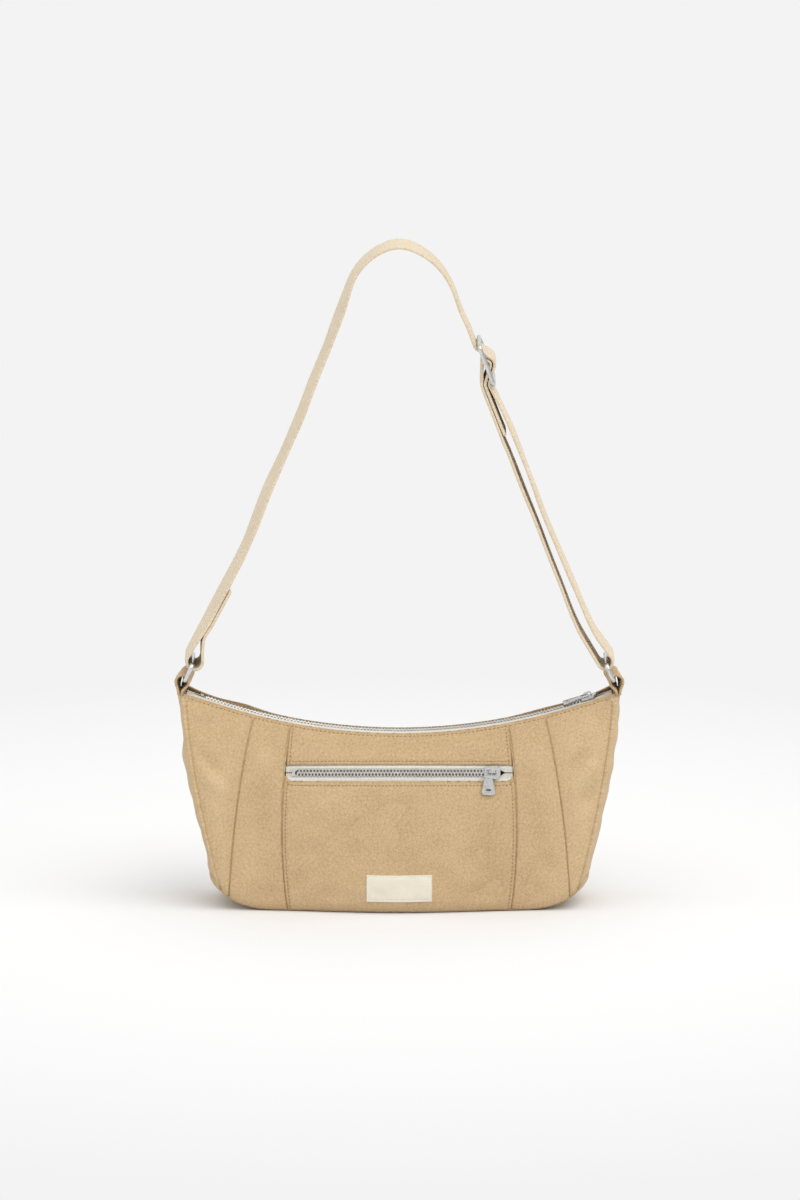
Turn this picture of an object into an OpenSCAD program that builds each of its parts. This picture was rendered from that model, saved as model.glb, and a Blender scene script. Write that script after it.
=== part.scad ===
// Small trapeze shoulder bag in canvas: curved metal zip along the top,
// zipped pocket on the front, and a webbing strap with a wire adjuster.
// The front faces -Y, the bag stands on z = 0 and is centred on x = y = 0.

/* [Bag shell] */
// Half width between the side seams at the bottom corners
base_half_w = 126; // [105:1:150]
// Half width between the side seams at the top corners
top_half_w = 150; // [125:1:180]
// Half depth of the bag at the middle of its bottom edge
belly_half_d = 41; // [34:1:50]
// Half depth of the side strip at its bottom end
strip_half_d = 33; // [27:1:40]
// Height of the zip line at the middle of the bag
mid_h = 120; // [100:1:145]
// Radius of the curve that the top zip hangs in
zip_r = 395; // [330:5:480]
// Half of the gap between the two folded top edges
mouth_half = 8; // [7:0.5:10]
// Height of the rounded bottom corners
corner_h = 22; // [16:1:28]
// How far the side strip bulges out at its middle
strip_bulge = 6; // [3:0.5:8]
// Thickness of the canvas with its backing
canvas_t = 1.6; // [1.2:0.1:2]
// Thickness of the lining cloth
lining_t = 0.6; // [0.4:0.1:0.8]

/* [Front pocket] */
// Distance of the pocket zip's centre line below the top edge
slot_drop = 25.5; // [20:0.5:44]
// Height of the opening that the pocket zip fills
slot_h = 12; // [11:0.5:14]
// Half length of the pocket zip's tape
slot_half_l = 78; // [64:1:80]
// Room between the two layers of the pocket bag
pocket_room = 9; // [6:0.5:11]

/* [Zips] */
// Spacing of the teeth along one side of a zip
tooth_pitch = 2.3; // [2:0.1:2.8]
// Half width of the closed row of teeth
chain_half_w = 3.1; // [2.8:0.1:3.4]
// Thickness of a tooth across the tape
tooth_h = 2.4; // [2:0.1:2.8]
// Thickness of the zip tape
tape_t = 0.6; // [0.4:0.1:0.8]
// Length of a slider's body
slider_l = 11.2; // [10:0.2:12.6]
// Thickness of a slider's two plates
slider_plate_t = 1; // [0.8:0.1:1.2]
// Length of a pull from its bar to its tip
pull_l = 18; // [15:0.5:22]
// Width of a pull at its tip
pull_tip_w = 9.1; // [8:0.1:11]

/* [Strap] */
// Width of the strap
strap_w = 35; // [30:1:42]
// Thickness of the strap
strap_t = 2.4; // [2:0.1:2.8]
// Height of the strap's highest point when it stands up
strap_top = 461; // [430:1:500]
// Length of the short sewn end under the adjuster
sewn_end_l = 26; // [20:1:32]

/* [Metal fittings] */
// Wire thickness of the two rings
ring_wire = 3.2; // [2.8:0.1:3.6]
// Spacing of a ring's two long bars, centre to centre
ring_h = 12; // [11:0.5:14]
// Wire thickness of the adjuster
slide_wire = 3; // [2.6:0.1:3.4]
// Spacing of the adjuster's outer bars, centre to centre
slide_h = 28.8; // [27:0.2:33]

/* [Label] */
// Width of the sewn label
label_w = 45; // [38:1:52]
// Height of the sewn label
label_h = 18.5; // [15:0.5:22]

/* [Hidden] */
canvas = [0.83, 0.72, 0.55];
webbing = [0.87, 0.80, 0.70];
tape_white = [0.93, 0.92, 0.87];
metal = [0.80, 0.80, 0.79];
lining_tone = [0.90, 0.86, 0.78];
// Gap between pieces that lie against each other without being sewn flat
seat_gap = 0.3;
// Shape of the belly in profile, and how far it tucks in at the bottom edge
belly_power = 2.2;
edge_tuck = 3;
tuck_zone = 0.07;
// Part of the half width at which the bottom starts to curve up
corner_from = 0.7;
// Half depth of the side strip's top, which the ring loops fill
strip_top_d = strap_w / 2 - 0.5;
// Insets of the lining and of the pocket bag from the outer face
lining_in = canvas_t + seat_gap;
pocket_in = canvas_t + 0.6;
pocket_out = pocket_in + pocket_room + 2 * lining_t;
// Height of the pocket zip's centre line, and as a part of the middle's height
slot_z = mid_h - slot_drop;
slot_part = slot_z / mid_h;
// Lean of the pocket zip's plane: a little less than the slope of the belly there
belly_slope = (belly_half_d - mouth_half) * belly_power * pow(slot_part, belly_power - 1) / mid_h;
slot_lean = atan(0.912 * belly_slope);
pocket_tape_in = canvas_t + tape_t / 2 + 0.1;
tooth_l = 1.05;
tape_edge = 1.3;
plate_gap = tooth_h + 0.4;
crown_room = 1.9;
crown_w = 2.2;
pull_t = 1.2;
bar_r = pull_t / 2;
crown_rear = -2.6;
crown_front = 2.2;
crown_post = 1.1;

// Curved shell
function lerp(a, b, t) = a + (b - a) * t;
function ease(t) = let (c = max(0, min(1, t))) c * c * (3 - 2 * c);
function zip_rise(x) = zip_r - sqrt(zip_r * zip_r - x * x);
function top_z(u) = mid_h + zip_rise(u * top_half_w);
function corner_t(u) = max(0, (abs(u) - corner_from) / (1 - corner_from));
function bottom_z(u) = corner_h * (1 - sqrt(max(0, 1 - pow(corner_t(u), 2))));
function half_w(v) = lerp(base_half_w, top_half_w, 1 - pow(1 - v, 1.5));
function half_d_side(v) = lerp(strip_half_d, strip_top_d, pow(v, 1.3));
function belly(u) =
    (belly_half_d - mouth_half) * (1 - pow(slot_z / mid_h, belly_power))
    / (1 - pow(slot_z / top_z(u), belly_power));
function half_d(u, v) =
    let (
        middle = mouth_half + belly(u) * (1 - pow(v, belly_power)),
        side = pow(abs(u), 2.5 + 12 * pow(v, 6)),
        tuck = edge_tuck * pow(max(0, 1 - v / tuck_zone), 2)
    )
    lerp(middle, half_d_side(v), side) - tuck;
function shell_z(u, v, inset) = lerp(bottom_z(u) + inset, top_z(u), v);
function v_of(u, z, inset) = (z - bottom_z(u) - inset) / (top_z(u) - bottom_z(u) - inset);
// A point of the front or back face: u runs across, v runs up, inset is the depth under the canvas
function face_at(side, u, v, inset) =
    [u * (half_w(v) - inset), side * (half_d(u, v) - inset), shell_z(u, v, inset)];
function bulge(v) = lerp(strip_bulge, strip_bulge / 2, v);
// A point of the side strip: w runs from the front seam to the back seam
function strip_at(side, w, v, inset) = [
    side * (half_w(v) - inset + bulge(v) * (1 - w * w)),
    w * (half_d(1, v) - inset),
    shell_z(1, v, inset)
];
function base_at(u, w, inset) = [
    u * (base_half_w - inset) + sign(u) * bulge(0) * (1 - w * w) * ease(corner_t(u)),
    w * (half_d(u, 0) - inset),
    bottom_z(u) + inset
];

// Seams between the panels, as parts of the half width at height v: the centre panel is as wide
// as the pocket's zip where the zip is
zip_room = 0.8;
function centre_seam(v) =
    (slot_half_l + zip_room) / half_w(slot_part) + 0.111 * (pow(slot_part, 1.5) - pow(v, 1.5));
function outer_seam(v) = 0.936 - 0.269 * pow(v, 0.9);
// Heights of the grid's rows, closer together at the bottom edge
function row_v(t) = pow(t, 1.25);
face_rows = 10;
centre_cols = 12;
inner_cols = 4;
outer_cols = 5;
strip_cols = 6;
// All the columns of a face at height v, which the base and the lining share
function spread(a, b, n) = [for (i = [0:n - 1]) lerp(a, b, i / n)];
function face_u(v) =
    let (c = centre_seam(v), o = outer_seam(v))
    concat(
        spread(-1, -o, outer_cols), spread(-o, -c, inner_cols), spread(-c, c, centre_cols),
        spread(c, o, inner_cols), spread(o, 1, outer_cols), [1]
    );

// Closed solid between two grids of points with the same rows and columns
module sheet(outer, inner, flip = false) {
    rows = len(outer);
    cols = len(outer[0]);
    n = rows * cols;
    function id(i, j) = i * cols + j;
    function quad(a, b, c, d) = [[a, b, c], [a, c, d]];
    tris = [
        for (i = [0:rows - 2], j = [0:cols - 2])
            each quad(id(i, j), id(i + 1, j), id(i + 1, j + 1), id(i, j + 1)),
        for (i = [0:rows - 2], j = [0:cols - 2])
            each quad(n + id(i, j), n + id(i, j + 1), n + id(i + 1, j + 1), n + id(i + 1, j)),
        for (i = [0:rows - 2])
            each quad(id(i, 0), n + id(i, 0), n + id(i + 1, 0), id(i + 1, 0)),
        for (i = [0:rows - 2])
            each quad(id(i + 1, cols - 1), n + id(i + 1, cols - 1), n + id(i, cols - 1), id(i, cols - 1)),
        for (j = [0:cols - 2])
            each quad(id(0, j + 1), n + id(0, j + 1), n + id(0, j), id(0, j)),
        for (j = [0:cols - 2])
            each quad(id(rows - 1, j), n + id(rows - 1, j), n + id(rows - 1, j + 1), id(rows - 1, j + 1))
    ];
    polyhedron(
        points = [for (r = outer) each r, for (r = inner) each r],
        faces = flip ? [for (t = tris) [t[2], t[1], t[0]]] : tris
    );
}

// Panel of the front (side -1) or back (side 1) between two lines across and two up
module face_panel(side, u_a, u_b, v_a, v_b, cols, rows, in_a = 0, in_b = canvas_t) {
    function grid(inset) = [
        for (i = [0:rows])
            let (t = row_v(i / rows))
            [
                for (j = [0:cols])
                    let (
                        guess = lerp(v_a(0), v_b(0), t),
                        u = lerp(u_a(guess), u_b(guess), j / cols)
                    )
                    face_at(side, u, lerp(v_a(u), v_b(u), t), inset)
            ]
    ];
    sheet(grid(in_a), grid(in_b), side > 0);
}

// Height parameter of the two level edges of the pocket zip's opening
function slot_v(u, up) = (slot_z + up * slot_h / 2 * cos(slot_lean)) / top_z(u);
bottom_line = function (u) 0;
top_line = function (u) 1;
slot_low = function (u) slot_v(u, -1);
slot_high = function (u) slot_v(u, 1);
left_centre = function (v) -centre_seam(v);
right_centre = function (v) centre_seam(v);
left_outer = function (v) -outer_seam(v);
right_outer = function (v) outer_seam(v);
left_edge = function (v) -1;
right_edge = function (v) 1;

module front_centre_top() {
    color(canvas) face_panel(-1, left_centre, right_centre, slot_high, top_line, centre_cols, 3);
}

module front_centre_pocket() {
    color(canvas) face_panel(-1, left_centre, right_centre, bottom_line, slot_low, centre_cols, 9);
}

module inner_panel(side, across) {
    color(canvas)
        if (across < 0)
            face_panel(side, left_outer, left_centre, bottom_line, top_line, inner_cols, face_rows);
        else
            face_panel(side, right_centre, right_outer, bottom_line, top_line, inner_cols, face_rows);
}

module outer_panel(side, across) {
    color(canvas)
        if (across < 0)
            face_panel(side, left_edge, left_outer, bottom_line, top_line, outer_cols, face_rows);
        else
            face_panel(side, right_outer, right_edge, bottom_line, top_line, outer_cols, face_rows);
}

module front_inner_left() { inner_panel(-1, -1); }
module front_inner_right() { inner_panel(-1, 1); }
module front_outer_left() { outer_panel(-1, -1); }
module front_outer_right() { outer_panel(-1, 1); }
module back_inner_left() { inner_panel(1, -1); }
module back_inner_right() { inner_panel(1, 1); }
module back_outer_left() { outer_panel(1, -1); }
module back_outer_right() { outer_panel(1, 1); }

module back_centre() {
    color(canvas)
        face_panel(1, left_centre, right_centre, bottom_line, top_line, centre_cols, face_rows);
}

module side_strip(side) {
    function grid(inset) = [
        for (i = [0:face_rows]) [
            for (j = [0:strip_cols])
                strip_at(side, lerp(-1, 1, j / strip_cols), row_v(i / face_rows), inset)
        ]
    ];
    color(canvas) sheet(grid(0), grid(canvas_t), side > 0);
}

module side_strip_left() { side_strip(-1); }
module side_strip_right() { side_strip(1); }

module base_panel() {
    function grid(inset) = [
        for (u = face_u(0)) [
            for (j = [0:strip_cols]) base_at(u, lerp(-1, 1, j / strip_cols), inset)
        ]
    ];
    color(canvas) sheet(grid(0), grid(canvas_t), false);
}

// Half width of the pocket bag's mouth, as a part of the half width
pocket_u = (slot_half_l - 4.3) / half_w(slot_part);
lining_top = 0.975;
// The front lining is pushed in by the pocket bag that hangs in front of it
function pocket_push(u, v) =
    (pocket_out + 3 * seat_gap - lining_in)
    * ease((pocket_u + 0.18 - abs(u)) / 0.14) * ease(v / 0.1) * ease((lining_top - v) / 0.12);

module lining_face(side) {
    function inset_at(u, v) = lining_in + (side < 0 ? pocket_push(u, v) : 0);
    function grid(extra) = [
        for (i = [0:face_rows])
            let (v = min(row_v(i / face_rows), lining_top))
            [for (u = face_u(v)) face_at(side, u, v, inset_at(u, v) + extra)]
    ];
    color(lining_tone) sheet(grid(0), grid(lining_t), side > 0);
}

module lining_front() { lining_face(-1); }
module lining_back() { lining_face(1); }

// One strip of lining goes down one side, under and up the other side
module lining_strip() {
    up = [for (i = [face_rows:-1:1]) min(row_v(i / face_rows), lining_top)];
    function row(fn, inset) = [for (j = [0:strip_cols]) fn(lerp(-1, 1, j / strip_cols), inset)];
    function grid(inset) = [
        for (v = up) row(function (w, k) strip_at(-1, w, v, k), inset),
        for (u = face_u(0)) row(function (w, k) base_at(u, w, k), inset),
        for (i = [len(up) - 1:-1:0]) row(function (w, k) strip_at(1, w, up[i], k), inset)
    ];
    color(lining_tone) sheet(grid(lining_in), grid(lining_in + lining_t), false);
}

// Pouch of two cloth layers, sewn at its sides and bottom and open behind the pocket zip
module pocket_bag() {
    around = 20;
    levels = 6;
    v_bottom = 0.14;
    middle_in = (pocket_in + pocket_out) / 2;
    function soft(a, power) = sign(a) * pow(abs(a), power);
    function ring(i, shrink) =
        let (
            t = i / levels,
            open = (pocket_out - pocket_in) / 2 * lerp(0.3, 1, ease(t * 2.2)) - shrink,
            wide = pocket_u - 0.02 * (1 - t) - shrink / base_half_w,
            low = v_bottom + shrink / mid_h
        )
        [
            for (j = [0:around - 1])
                let (
                    a = 360 * j / around,
                    across = soft(cos(a), 0.45),
                    deep = soft(sin(a), 0.6),
                    u = wide * across,
                    inset = middle_in + open * deep,
                    z_top = slot_z - 3 + deep * (slot_h / 2 + 3)
                )
                face_at(-1, u, lerp(low, v_of(u, z_top, inset), t), inset)
        ];
    outer = [for (i = [0:levels]) ring(i, 0)];
    inner = [for (i = [0:levels]) ring(i, lining_t)];
    n = around * (levels + 1);
    function next(j) = (j + 1) % around;
    function wall(base, i, j) = [
        [base + i * around + j, base + (i + 1) * around + next(j), base + i * around + next(j)],
        [base + i * around + j, base + (i + 1) * around + j, base + (i + 1) * around + next(j)]
    ];
    function turned(faces) = [for (f = faces) [f[2], f[1], f[0]]];
    top = levels * around;
    faces = [
        for (i = [0:levels - 1], j = [0:around - 1]) each wall(0, i, j),
        for (i = [0:levels - 1], j = [0:around - 1]) each turned(wall(n, i, j)),
        for (j = [1:around - 2]) [0, j, j + 1],
        for (j = [1:around - 2]) [n, n + j + 1, n + j],
        for (j = [0:around - 1]) [top + j, n + top + j, n + top + next(j)],
        for (j = [0:around - 1]) [top + j, n + top + next(j), top + next(j)]
    ];
    color(lining_tone)
        polyhedron(points = [for (r = outer) each r, for (r = inner) each r], faces = faces);
}

// The label lies on the lower middle of the pocket's front
module label() {
    label_mid_z = 17.5;
    label_t = 0.7;
    rows = 3;
    cols = 6;
    function point(i, j, lift) =
        face_at(-1, lerp(-1, 1, j / cols) * label_w / 2 / half_w(label_mid_z / mid_h),
            (label_mid_z + lerp(-1, 1, i / rows) * label_h / 2) / mid_h, -seat_gap / 2 - lift);
    function grid(lift) = [for (i = [0:rows]) [for (j = [0:cols]) point(i, j, lift)]];
    color(tape_white) sheet(grid(label_t), grid(0), false);
}

// Places its children on the top zip's arc: x along it, y across, z up out of the bag
module on_arc(x) {
    angle = asin(x / zip_r);
    translate([0, 0, mid_h + zip_r])
        rotate([0, -angle, 0])
            translate([0, 0, -zip_r])
                children();
}

// Places its children in the pocket zip's plane: y up the slope, z out of the bag
module on_slot() {
    translate([0, -(half_d(0, slot_part) - pocket_tape_in), slot_z])
        rotate([90 - slot_lean, 0, 0])
            children();
}

// The top tape ends short of the loops; each slider stops short of its tape's end
top_half_l = top_half_w - 10;
top_slider_x = top_half_l - 9;
pocket_half_chain = slot_half_l - 8;
pocket_slider_x = pocket_half_chain - 6;

// Half of the top tape: a curved strip whose ends widen to the loops
module top_tape(side) {
    reach = mouth_half - canvas_t - 0.25;
    half_angle = asin(top_half_l / zip_r);
    end_l = 8;
    color(tape_white)
        union() {
            translate([0, 0, mid_h + zip_r])
                rotate([90, 0, 0])
                    rotate([0, 0, -90 - half_angle])
                        rotate_extrude(angle = 2 * half_angle, $fn = 360)
                            translate([zip_r - tape_t / 2, side > 0 ? -reach : tape_edge])
                                square([tape_t, reach - tape_edge]);
            for (end = [-1, 1])
                on_arc(end * (top_half_l - 1))
                    translate([0, 0, -tape_t / 2])
                        linear_extrude(tape_t)
                            polygon([
                                [end * 0.5, side * tape_edge],
                                [end * 0.5, side * reach],
                                [end * end_l, side * (reach + 2.5)],
                                [end * end_l, side * tape_edge]
                            ]);
        }
}

module top_tape_front() { top_tape(-1); }
module top_tape_back() { top_tape(1); }

// One tooth: its legs grip the tape, and its nose reaches past the middle line
module tooth(side) {
    nose = 0.9;
    leg_z = tape_t / 2 + 0.06;
    top = tooth_h / 2;
    rotate([90, 0, 90])
        translate([0, 0, -tooth_l / 2])
            linear_extrude(tooth_l)
                polygon([
                    [-side * nose, -top * 0.55],
                    [-side * (nose - 0.45), -top],
                    [side * (chain_half_w - 0.5), -top],
                    [side * chain_half_w, -leg_z],
                    [side * (tape_edge - 0.15), -leg_z],
                    [side * (tape_edge - 0.15), leg_z],
                    [side * chain_half_w, leg_z],
                    [side * (chain_half_w - 0.5), top],
                    [-side * (nose - 0.45), top],
                    [-side * nose, top * 0.55]
                ]);
}

module top_teeth(side) {
    first = -top_half_l + 7;
    count = floor((top_slider_x - 1 - first) / tooth_pitch);
    color(metal)
        for (i = [0:count - 1])
            on_arc(first + (i + (side > 0 ? 0.5 : 0)) * tooth_pitch) tooth(side);
}

module top_teeth_front() { top_teeth(-1); }
module top_teeth_back() { top_teeth(1); }

// Clip that ends a row of teeth, bent round the edge of the tape
module stop_clip(w) {
    leg_z = tape_t / 2 + 0.06;
    difference() {
        translate([-1.1, -w, -tooth_h / 2]) cube([2.2, 2 * w, tooth_h]);
        for (side = [-1, 1])
            translate([-2, side > 0 ? tape_edge - 0.15 : -w - 1, -leg_z])
                cube([4, w + 1 - tape_edge + 0.15, 2 * leg_z]);
    }
}

module top_zip_stops() {
    color(metal) on_arc(-top_half_l + 3.8) stop_clip(2.6);
}

module pocket_zip_stops() {
    color(metal) on_slot() translate([-pocket_half_chain - 2.8, 0, 0]) stop_clip(2.6);
}

// Half of the pocket zip's tape: a flat strip with rounded outer corners. The lower half is
// narrower, since the canvas under it leans over its edge
module pocket_tape(side) {
    reach = slot_h / 2 - (side > 0 ? 0.1 : canvas_t * sin(slot_lean) - 0.1);
    round_r = 2.2;
    color(tape_white)
        on_slot()
            translate([0, 0, -tape_t / 2])
                linear_extrude(tape_t)
                    difference() {
                        translate([-slot_half_l, side > 0 ? tape_edge : -reach])
                            square([2 * slot_half_l, reach - tape_edge]);
                        for (end = [-1, 1])
                            translate([end * (slot_half_l - round_r), side * (reach - round_r)])
                                difference() {
                                    translate([end > 0 ? 0 : -round_r - 1, side > 0 ? 0 : -round_r - 1])
                                        square(round_r + 1);
                                    circle(r = round_r, $fn = 48);
                                }
                    }
}

module pocket_tape_upper() { pocket_tape(1); }
module pocket_tape_lower() { pocket_tape(-1); }

module pocket_teeth(side) {
    first = -pocket_half_chain;
    count = floor((pocket_slider_x - 1 - first) / tooth_pitch);
    color(metal)
        on_slot()
            for (i = [0:count - 1])
                translate([first + (i + (side > 0 ? 0.5 : 0)) * tooth_pitch, 0, 0]) tooth(side);
}

module pocket_teeth_upper() { pocket_teeth(1); }
module pocket_teeth_lower() { pocket_teeth(-1); }

// Outline of a slider's plates: narrow where the closed teeth leave, wide where they part
module slider_outline() {
    rear_w = chain_half_w + 0.3;
    front_w = rear_w + 0.8;
    corner_r = 0.9;
    hull() {
        for (side = [-1, 1]) {
            translate([-slider_l / 2 + corner_r, side * (rear_w + 0.5 - corner_r)])
                circle(r = corner_r, $fn = 24);
            translate([slider_l / 2 - 2.4, side * (front_w + 0.6 - corner_r)])
                circle(r = corner_r, $fn = 24);
            translate([slider_l / 2 - corner_r, side * 1.6])
                circle(r = corner_r, $fn = 24);
        }
    }
}

// Channel between the rims, for the row of teeth and its two branches
module slider_channel() {
    half = chain_half_w + 0.15;
    polygon([
        [-slider_l, -half], [-0.5, -half], [slider_l / 2 - 2.4, -half - 0.9],
        [slider_l, -half - 0.9], [slider_l, half + 0.9],
        [slider_l / 2 - 2.4, half + 0.9], [-0.5, half], [-slider_l, half]
    ]);
}

// Slider at its own origin: two plates, rims, the dividing post and the crown
module slider() {
    rim_h = (plate_gap - tape_t) / 2 - 0.2;
    top = plate_gap / 2 + slider_plate_t;
    crown_t = 1;
    for (face = [-1, 1]) {
        translate([0, 0, face > 0 ? plate_gap / 2 : -plate_gap / 2 - slider_plate_t])
            linear_extrude(slider_plate_t) slider_outline();
        translate([0, 0, face > 0 ? plate_gap / 2 - rim_h : -plate_gap / 2])
            linear_extrude(rim_h)
                difference() {
                    slider_outline();
                    slider_channel();
                }
    }
    translate([slider_l / 2 - 1.5, 0, -plate_gap / 2 - 0.1])
        cylinder(r = tape_edge - 0.3, h = plate_gap + 0.2, $fn = 48);
    translate([0, crown_w / 2, 0])
        rotate([90, 0, 0])
            linear_extrude(crown_w)
                difference() {
                    translate([crown_rear - crown_post / 2, top - 0.1])
                        square([crown_front - crown_rear + crown_post, crown_room + crown_t + 0.1]);
                    translate([crown_rear + crown_post / 2, top])
                        square([crown_front - crown_rear - crown_post, crown_room]);
                    for (end = [-1, 1])
                        translate([
                            end > 0 ? crown_front + crown_post / 2 : crown_rear - crown_post / 2,
                            top + crown_room + crown_t
                        ])
                            rotate(45) square(1.2, center = true);
                }
}

// Height of a pull's bar over the zip's plane
bar_z = plate_gap / 2 + slider_plate_t + crown_room / 2;

// Pull with its bar at the origin, lying towards -x: a frame round the crown, then a tongue
// with a raised rim and a small slot
module pull() {
    window_half = 1.7;
    window_l = 4.9;
    neck_half = window_half + 0.95;
    rim = 0.8;
    sunk = 0.3;
    module outline(inset) {
        tip_r = 2;
        hull() {
            translate([-window_l - 1.6, 0]) square([0.1, 2 * (neck_half - inset)], center = true);
            for (side = [-1, 1])
                translate([-pull_l + tip_r, side * (pull_tip_w / 2 - tip_r)])
                    circle(r = tip_r - inset, $fn = 32);
        }
    }
    rotate([90, 0, 0])
        translate([0, 0, -neck_half])
            cylinder(r = bar_r, h = 2 * neck_half, $fn = 48);
    for (side = [-1, 1])
        translate([-window_l - 1.6, side > 0 ? window_half : -neck_half, -pull_t / 2])
            cube([window_l + 1.6, neck_half - window_half, pull_t]);
    translate([-window_l - 1.6, -neck_half, -pull_t / 2]) cube([1.6, 2 * neck_half, pull_t]);
    difference() {
        translate([0, 0, -pull_t / 2]) linear_extrude(pull_t) outline(0);
        translate([0, 0, pull_t / 2 - sunk])
            linear_extrude(pull_t)
                difference() {
                    outline(rim);
                    translate([-pull_l + 3.4, 0]) square([3, 5], center = true);
                }
        translate([-pull_l + 3.4, 0, -pull_t]) linear_extrude(2 * pull_t) square([1.4, 3.2], center = true);
        translate([-window_l, -window_half, -pull_t]) cube([window_l - bar_r, 2 * window_half, 2 * pull_t]);
    }
}

module top_slider() {
    color(metal) on_arc(top_slider_x) slider();
}

module top_pull() {
    color(metal) on_arc(top_slider_x) translate([(crown_rear + crown_front) / 2, 0, bar_z]) pull();
}

module pocket_slider() {
    color(metal) on_slot() translate([pocket_slider_x, 0, 0]) slider();
}

// The pocket's pull hangs round the rear post of its crown
module pocket_pull() {
    color(metal)
        on_slot()
            translate([pocket_slider_x + crown_rear, crown_w / 2 + bar_r + 0.25, bar_z])
                rotate(90)
                    pull();
}

// Ring and loops, drawn in the plane y = 0 and extruded along y
ring_lean = 24;
ring_foot = [top_half_w - 2.8, top_z(1) + 9.61];
loop_half_w = strap_w / 2 - 0.5;
loop_t = 2;
loop_room = 3.3;
ring_inner_half = strap_w / 2 + 1.6;
ring_up = [-sin(ring_lean), cos(ring_lean)];

// Smooth curve through a list of points; the first and last only set its direction at the ends
function curve_point(a, b, c, d, t) =
    0.5 * (2 * b + (c - a) * t + (2 * a - 5 * b + 4 * c - d) * t * t
        + (3 * b - a - 3 * c + d) * t * t * t);
function curve(p, steps) = [
    for (i = [1:len(p) - 3], s = [0:steps - 1])
        curve_point(p[i - 1], p[i], p[i + 1], p[i + 2], s / steps),
    p[len(p) - 2]
];
function unit(v) = v / norm(v);
// Outline of a band of even thickness; its ends are cut square to the given directions
function path_dir(p, i, start, end) =
    i == 0 && start ? start
    : i == len(p) - 1 && end ? end
    : unit(p[min(len(p) - 1, i + 1)] - p[max(0, i - 1)]);
function path_edge(p, shift, start, end) = [
    for (i = [0:len(p) - 1])
        let (d = path_dir(p, i, start, end)) p[i] + shift * [-d[1], d[0]]
];
function reversed(p) = [for (i = [len(p) - 1:-1:0]) p[i]];
function ribbon(p, t, start, end) =
    concat(path_edge(p, t / 2, start, end), reversed(path_edge(p, -t / 2, start, end)));
function on_circle(centre, r, angle) = centre + r * [cos(angle), sin(angle)];
function arc_points(centre, r, from, to, steps) =
    [for (i = [0:steps]) on_circle(centre, r, lerp(from, to, i / steps))];
// Angle at which a straight line from a point touches a circle, to its left or right
function touch_angle(point, centre, r, left) =
    let (d = point - centre) atan2(d[1], d[0]) + (left ? 1 : -1) * acos(r / norm(d));
function mirror_x(p) = [for (q = p) [-q[0], q[1]]];

// Band of cloth of the given half width that follows a path in the plane y = 0
module band(path, t, half, start, end) {
    rotate([90, 0, 0])
        translate([0, 0, -half])
            linear_extrude(2 * half)
                polygon(ribbon(path, t, start, end));
}

// Loop at the top of the side strip, round the foot of a ring
module ring_loop(side) {
    r = loop_room + loop_t / 2;
    seat = loop_room - ring_wire / 2 - seat_gap;
    centre = ring_foot - seat * ring_up;
    foot = [half_w(1) + bulge(1) / 2 - canvas_t / 2, top_z(1) + seat_gap];
    outer_foot = foot + [(loop_t + seat_gap) / 2, 0];
    inner_foot = foot - [(loop_t + seat_gap) / 2, 0];
    pinch = inner_foot + [-1.3, 2.2];
    from = touch_angle(outer_foot, centre, r, true);
    to = touch_angle(pinch, centre, r, false);
    path = concat(
        [outer_foot],
        arc_points(centre, r, from, to + 360, 18),
        curve([on_circle(centre, r, to), pinch, inner_foot + [-0.1, 1], inner_foot - [0, 1.5]], 3),
        [inner_foot]
    );
    color(canvas) band(side > 0 ? path : mirror_x(path), loop_t, loop_half_w);
}

module loop_left() { ring_loop(-1); }
module loop_right() { ring_loop(1); }

// Wire ring with round corners: two long bars along y and two short sides
module wire_frame(height, half_len, wire) {
    corner = wire * 0.9;
    for (z = [0, height])
        translate([0, -half_len + corner, z])
            rotate([-90, 0, 0])
                cylinder(d = wire, h = 2 * (half_len - corner), $fn = 48);
    for (y = [-half_len, half_len])
        translate([0, y, corner])
            cylinder(d = wire, h = height - 2 * corner, $fn = 48);
    for (y = [-1, 1], z = [0, 1])
        translate([0, y * (half_len - corner), z > 0 ? height - corner : corner])
            rotate([0, 90, 0])
                rotate([0, 0, z > 0 ? (y > 0 ? 90 : 180) : (y > 0 ? 0 : 270)])
                    rotate_extrude(angle = 90, $fn = 48)
                        translate([corner, 0])
                            circle(d = wire, $fn = 48);
}

module ring(side) {
    color(metal)
        translate([side * ring_foot[0], 0, ring_foot[1]])
            rotate([0, -side * ring_lean, 0])
                wire_frame(ring_h, ring_inner_half + ring_wire / 2, ring_wire);
}

module ring_left() { ring(-1); }
module ring_right() { ring(1); }

// The strap turns round each ring's upper bar with room for the ring to swing
turn_room = 4.2;
turn_r = turn_room + strap_t / 2;
turn_seat = 0.8;
right_turn = ring_foot + (ring_h + turn_room - ring_wire / 2 - turn_seat) * ring_up;
left_turn = [-right_turn[0], right_turn[1]];
layer = strap_t + seat_gap;
half_strap = strap_w / 2;

// The strap's line, as parts of its half span and of its height over the rings
function on_strap(across, up) = [across * ring_foot[0], lerp(ring_foot[1], strap_top, up)];

// Left leg: the turned end comes back up the inner side and is sewn down
left_split = on_strap(-0.7473, 0.2823);
left_touch = touch_angle(left_split, left_turn, turn_r, true);
left_foot = on_circle(left_turn, turn_r, left_touch);
left_up = unit(left_split - left_foot);
left_in = [left_up[1], -left_up[0]];
function beside_left(s, n) = left_foot + s * left_up + n * left_in;
// Distances up the left leg: the strap folds down at the first, the turned end stops at the second
left_cut = 24;
left_tip = 54;

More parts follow.
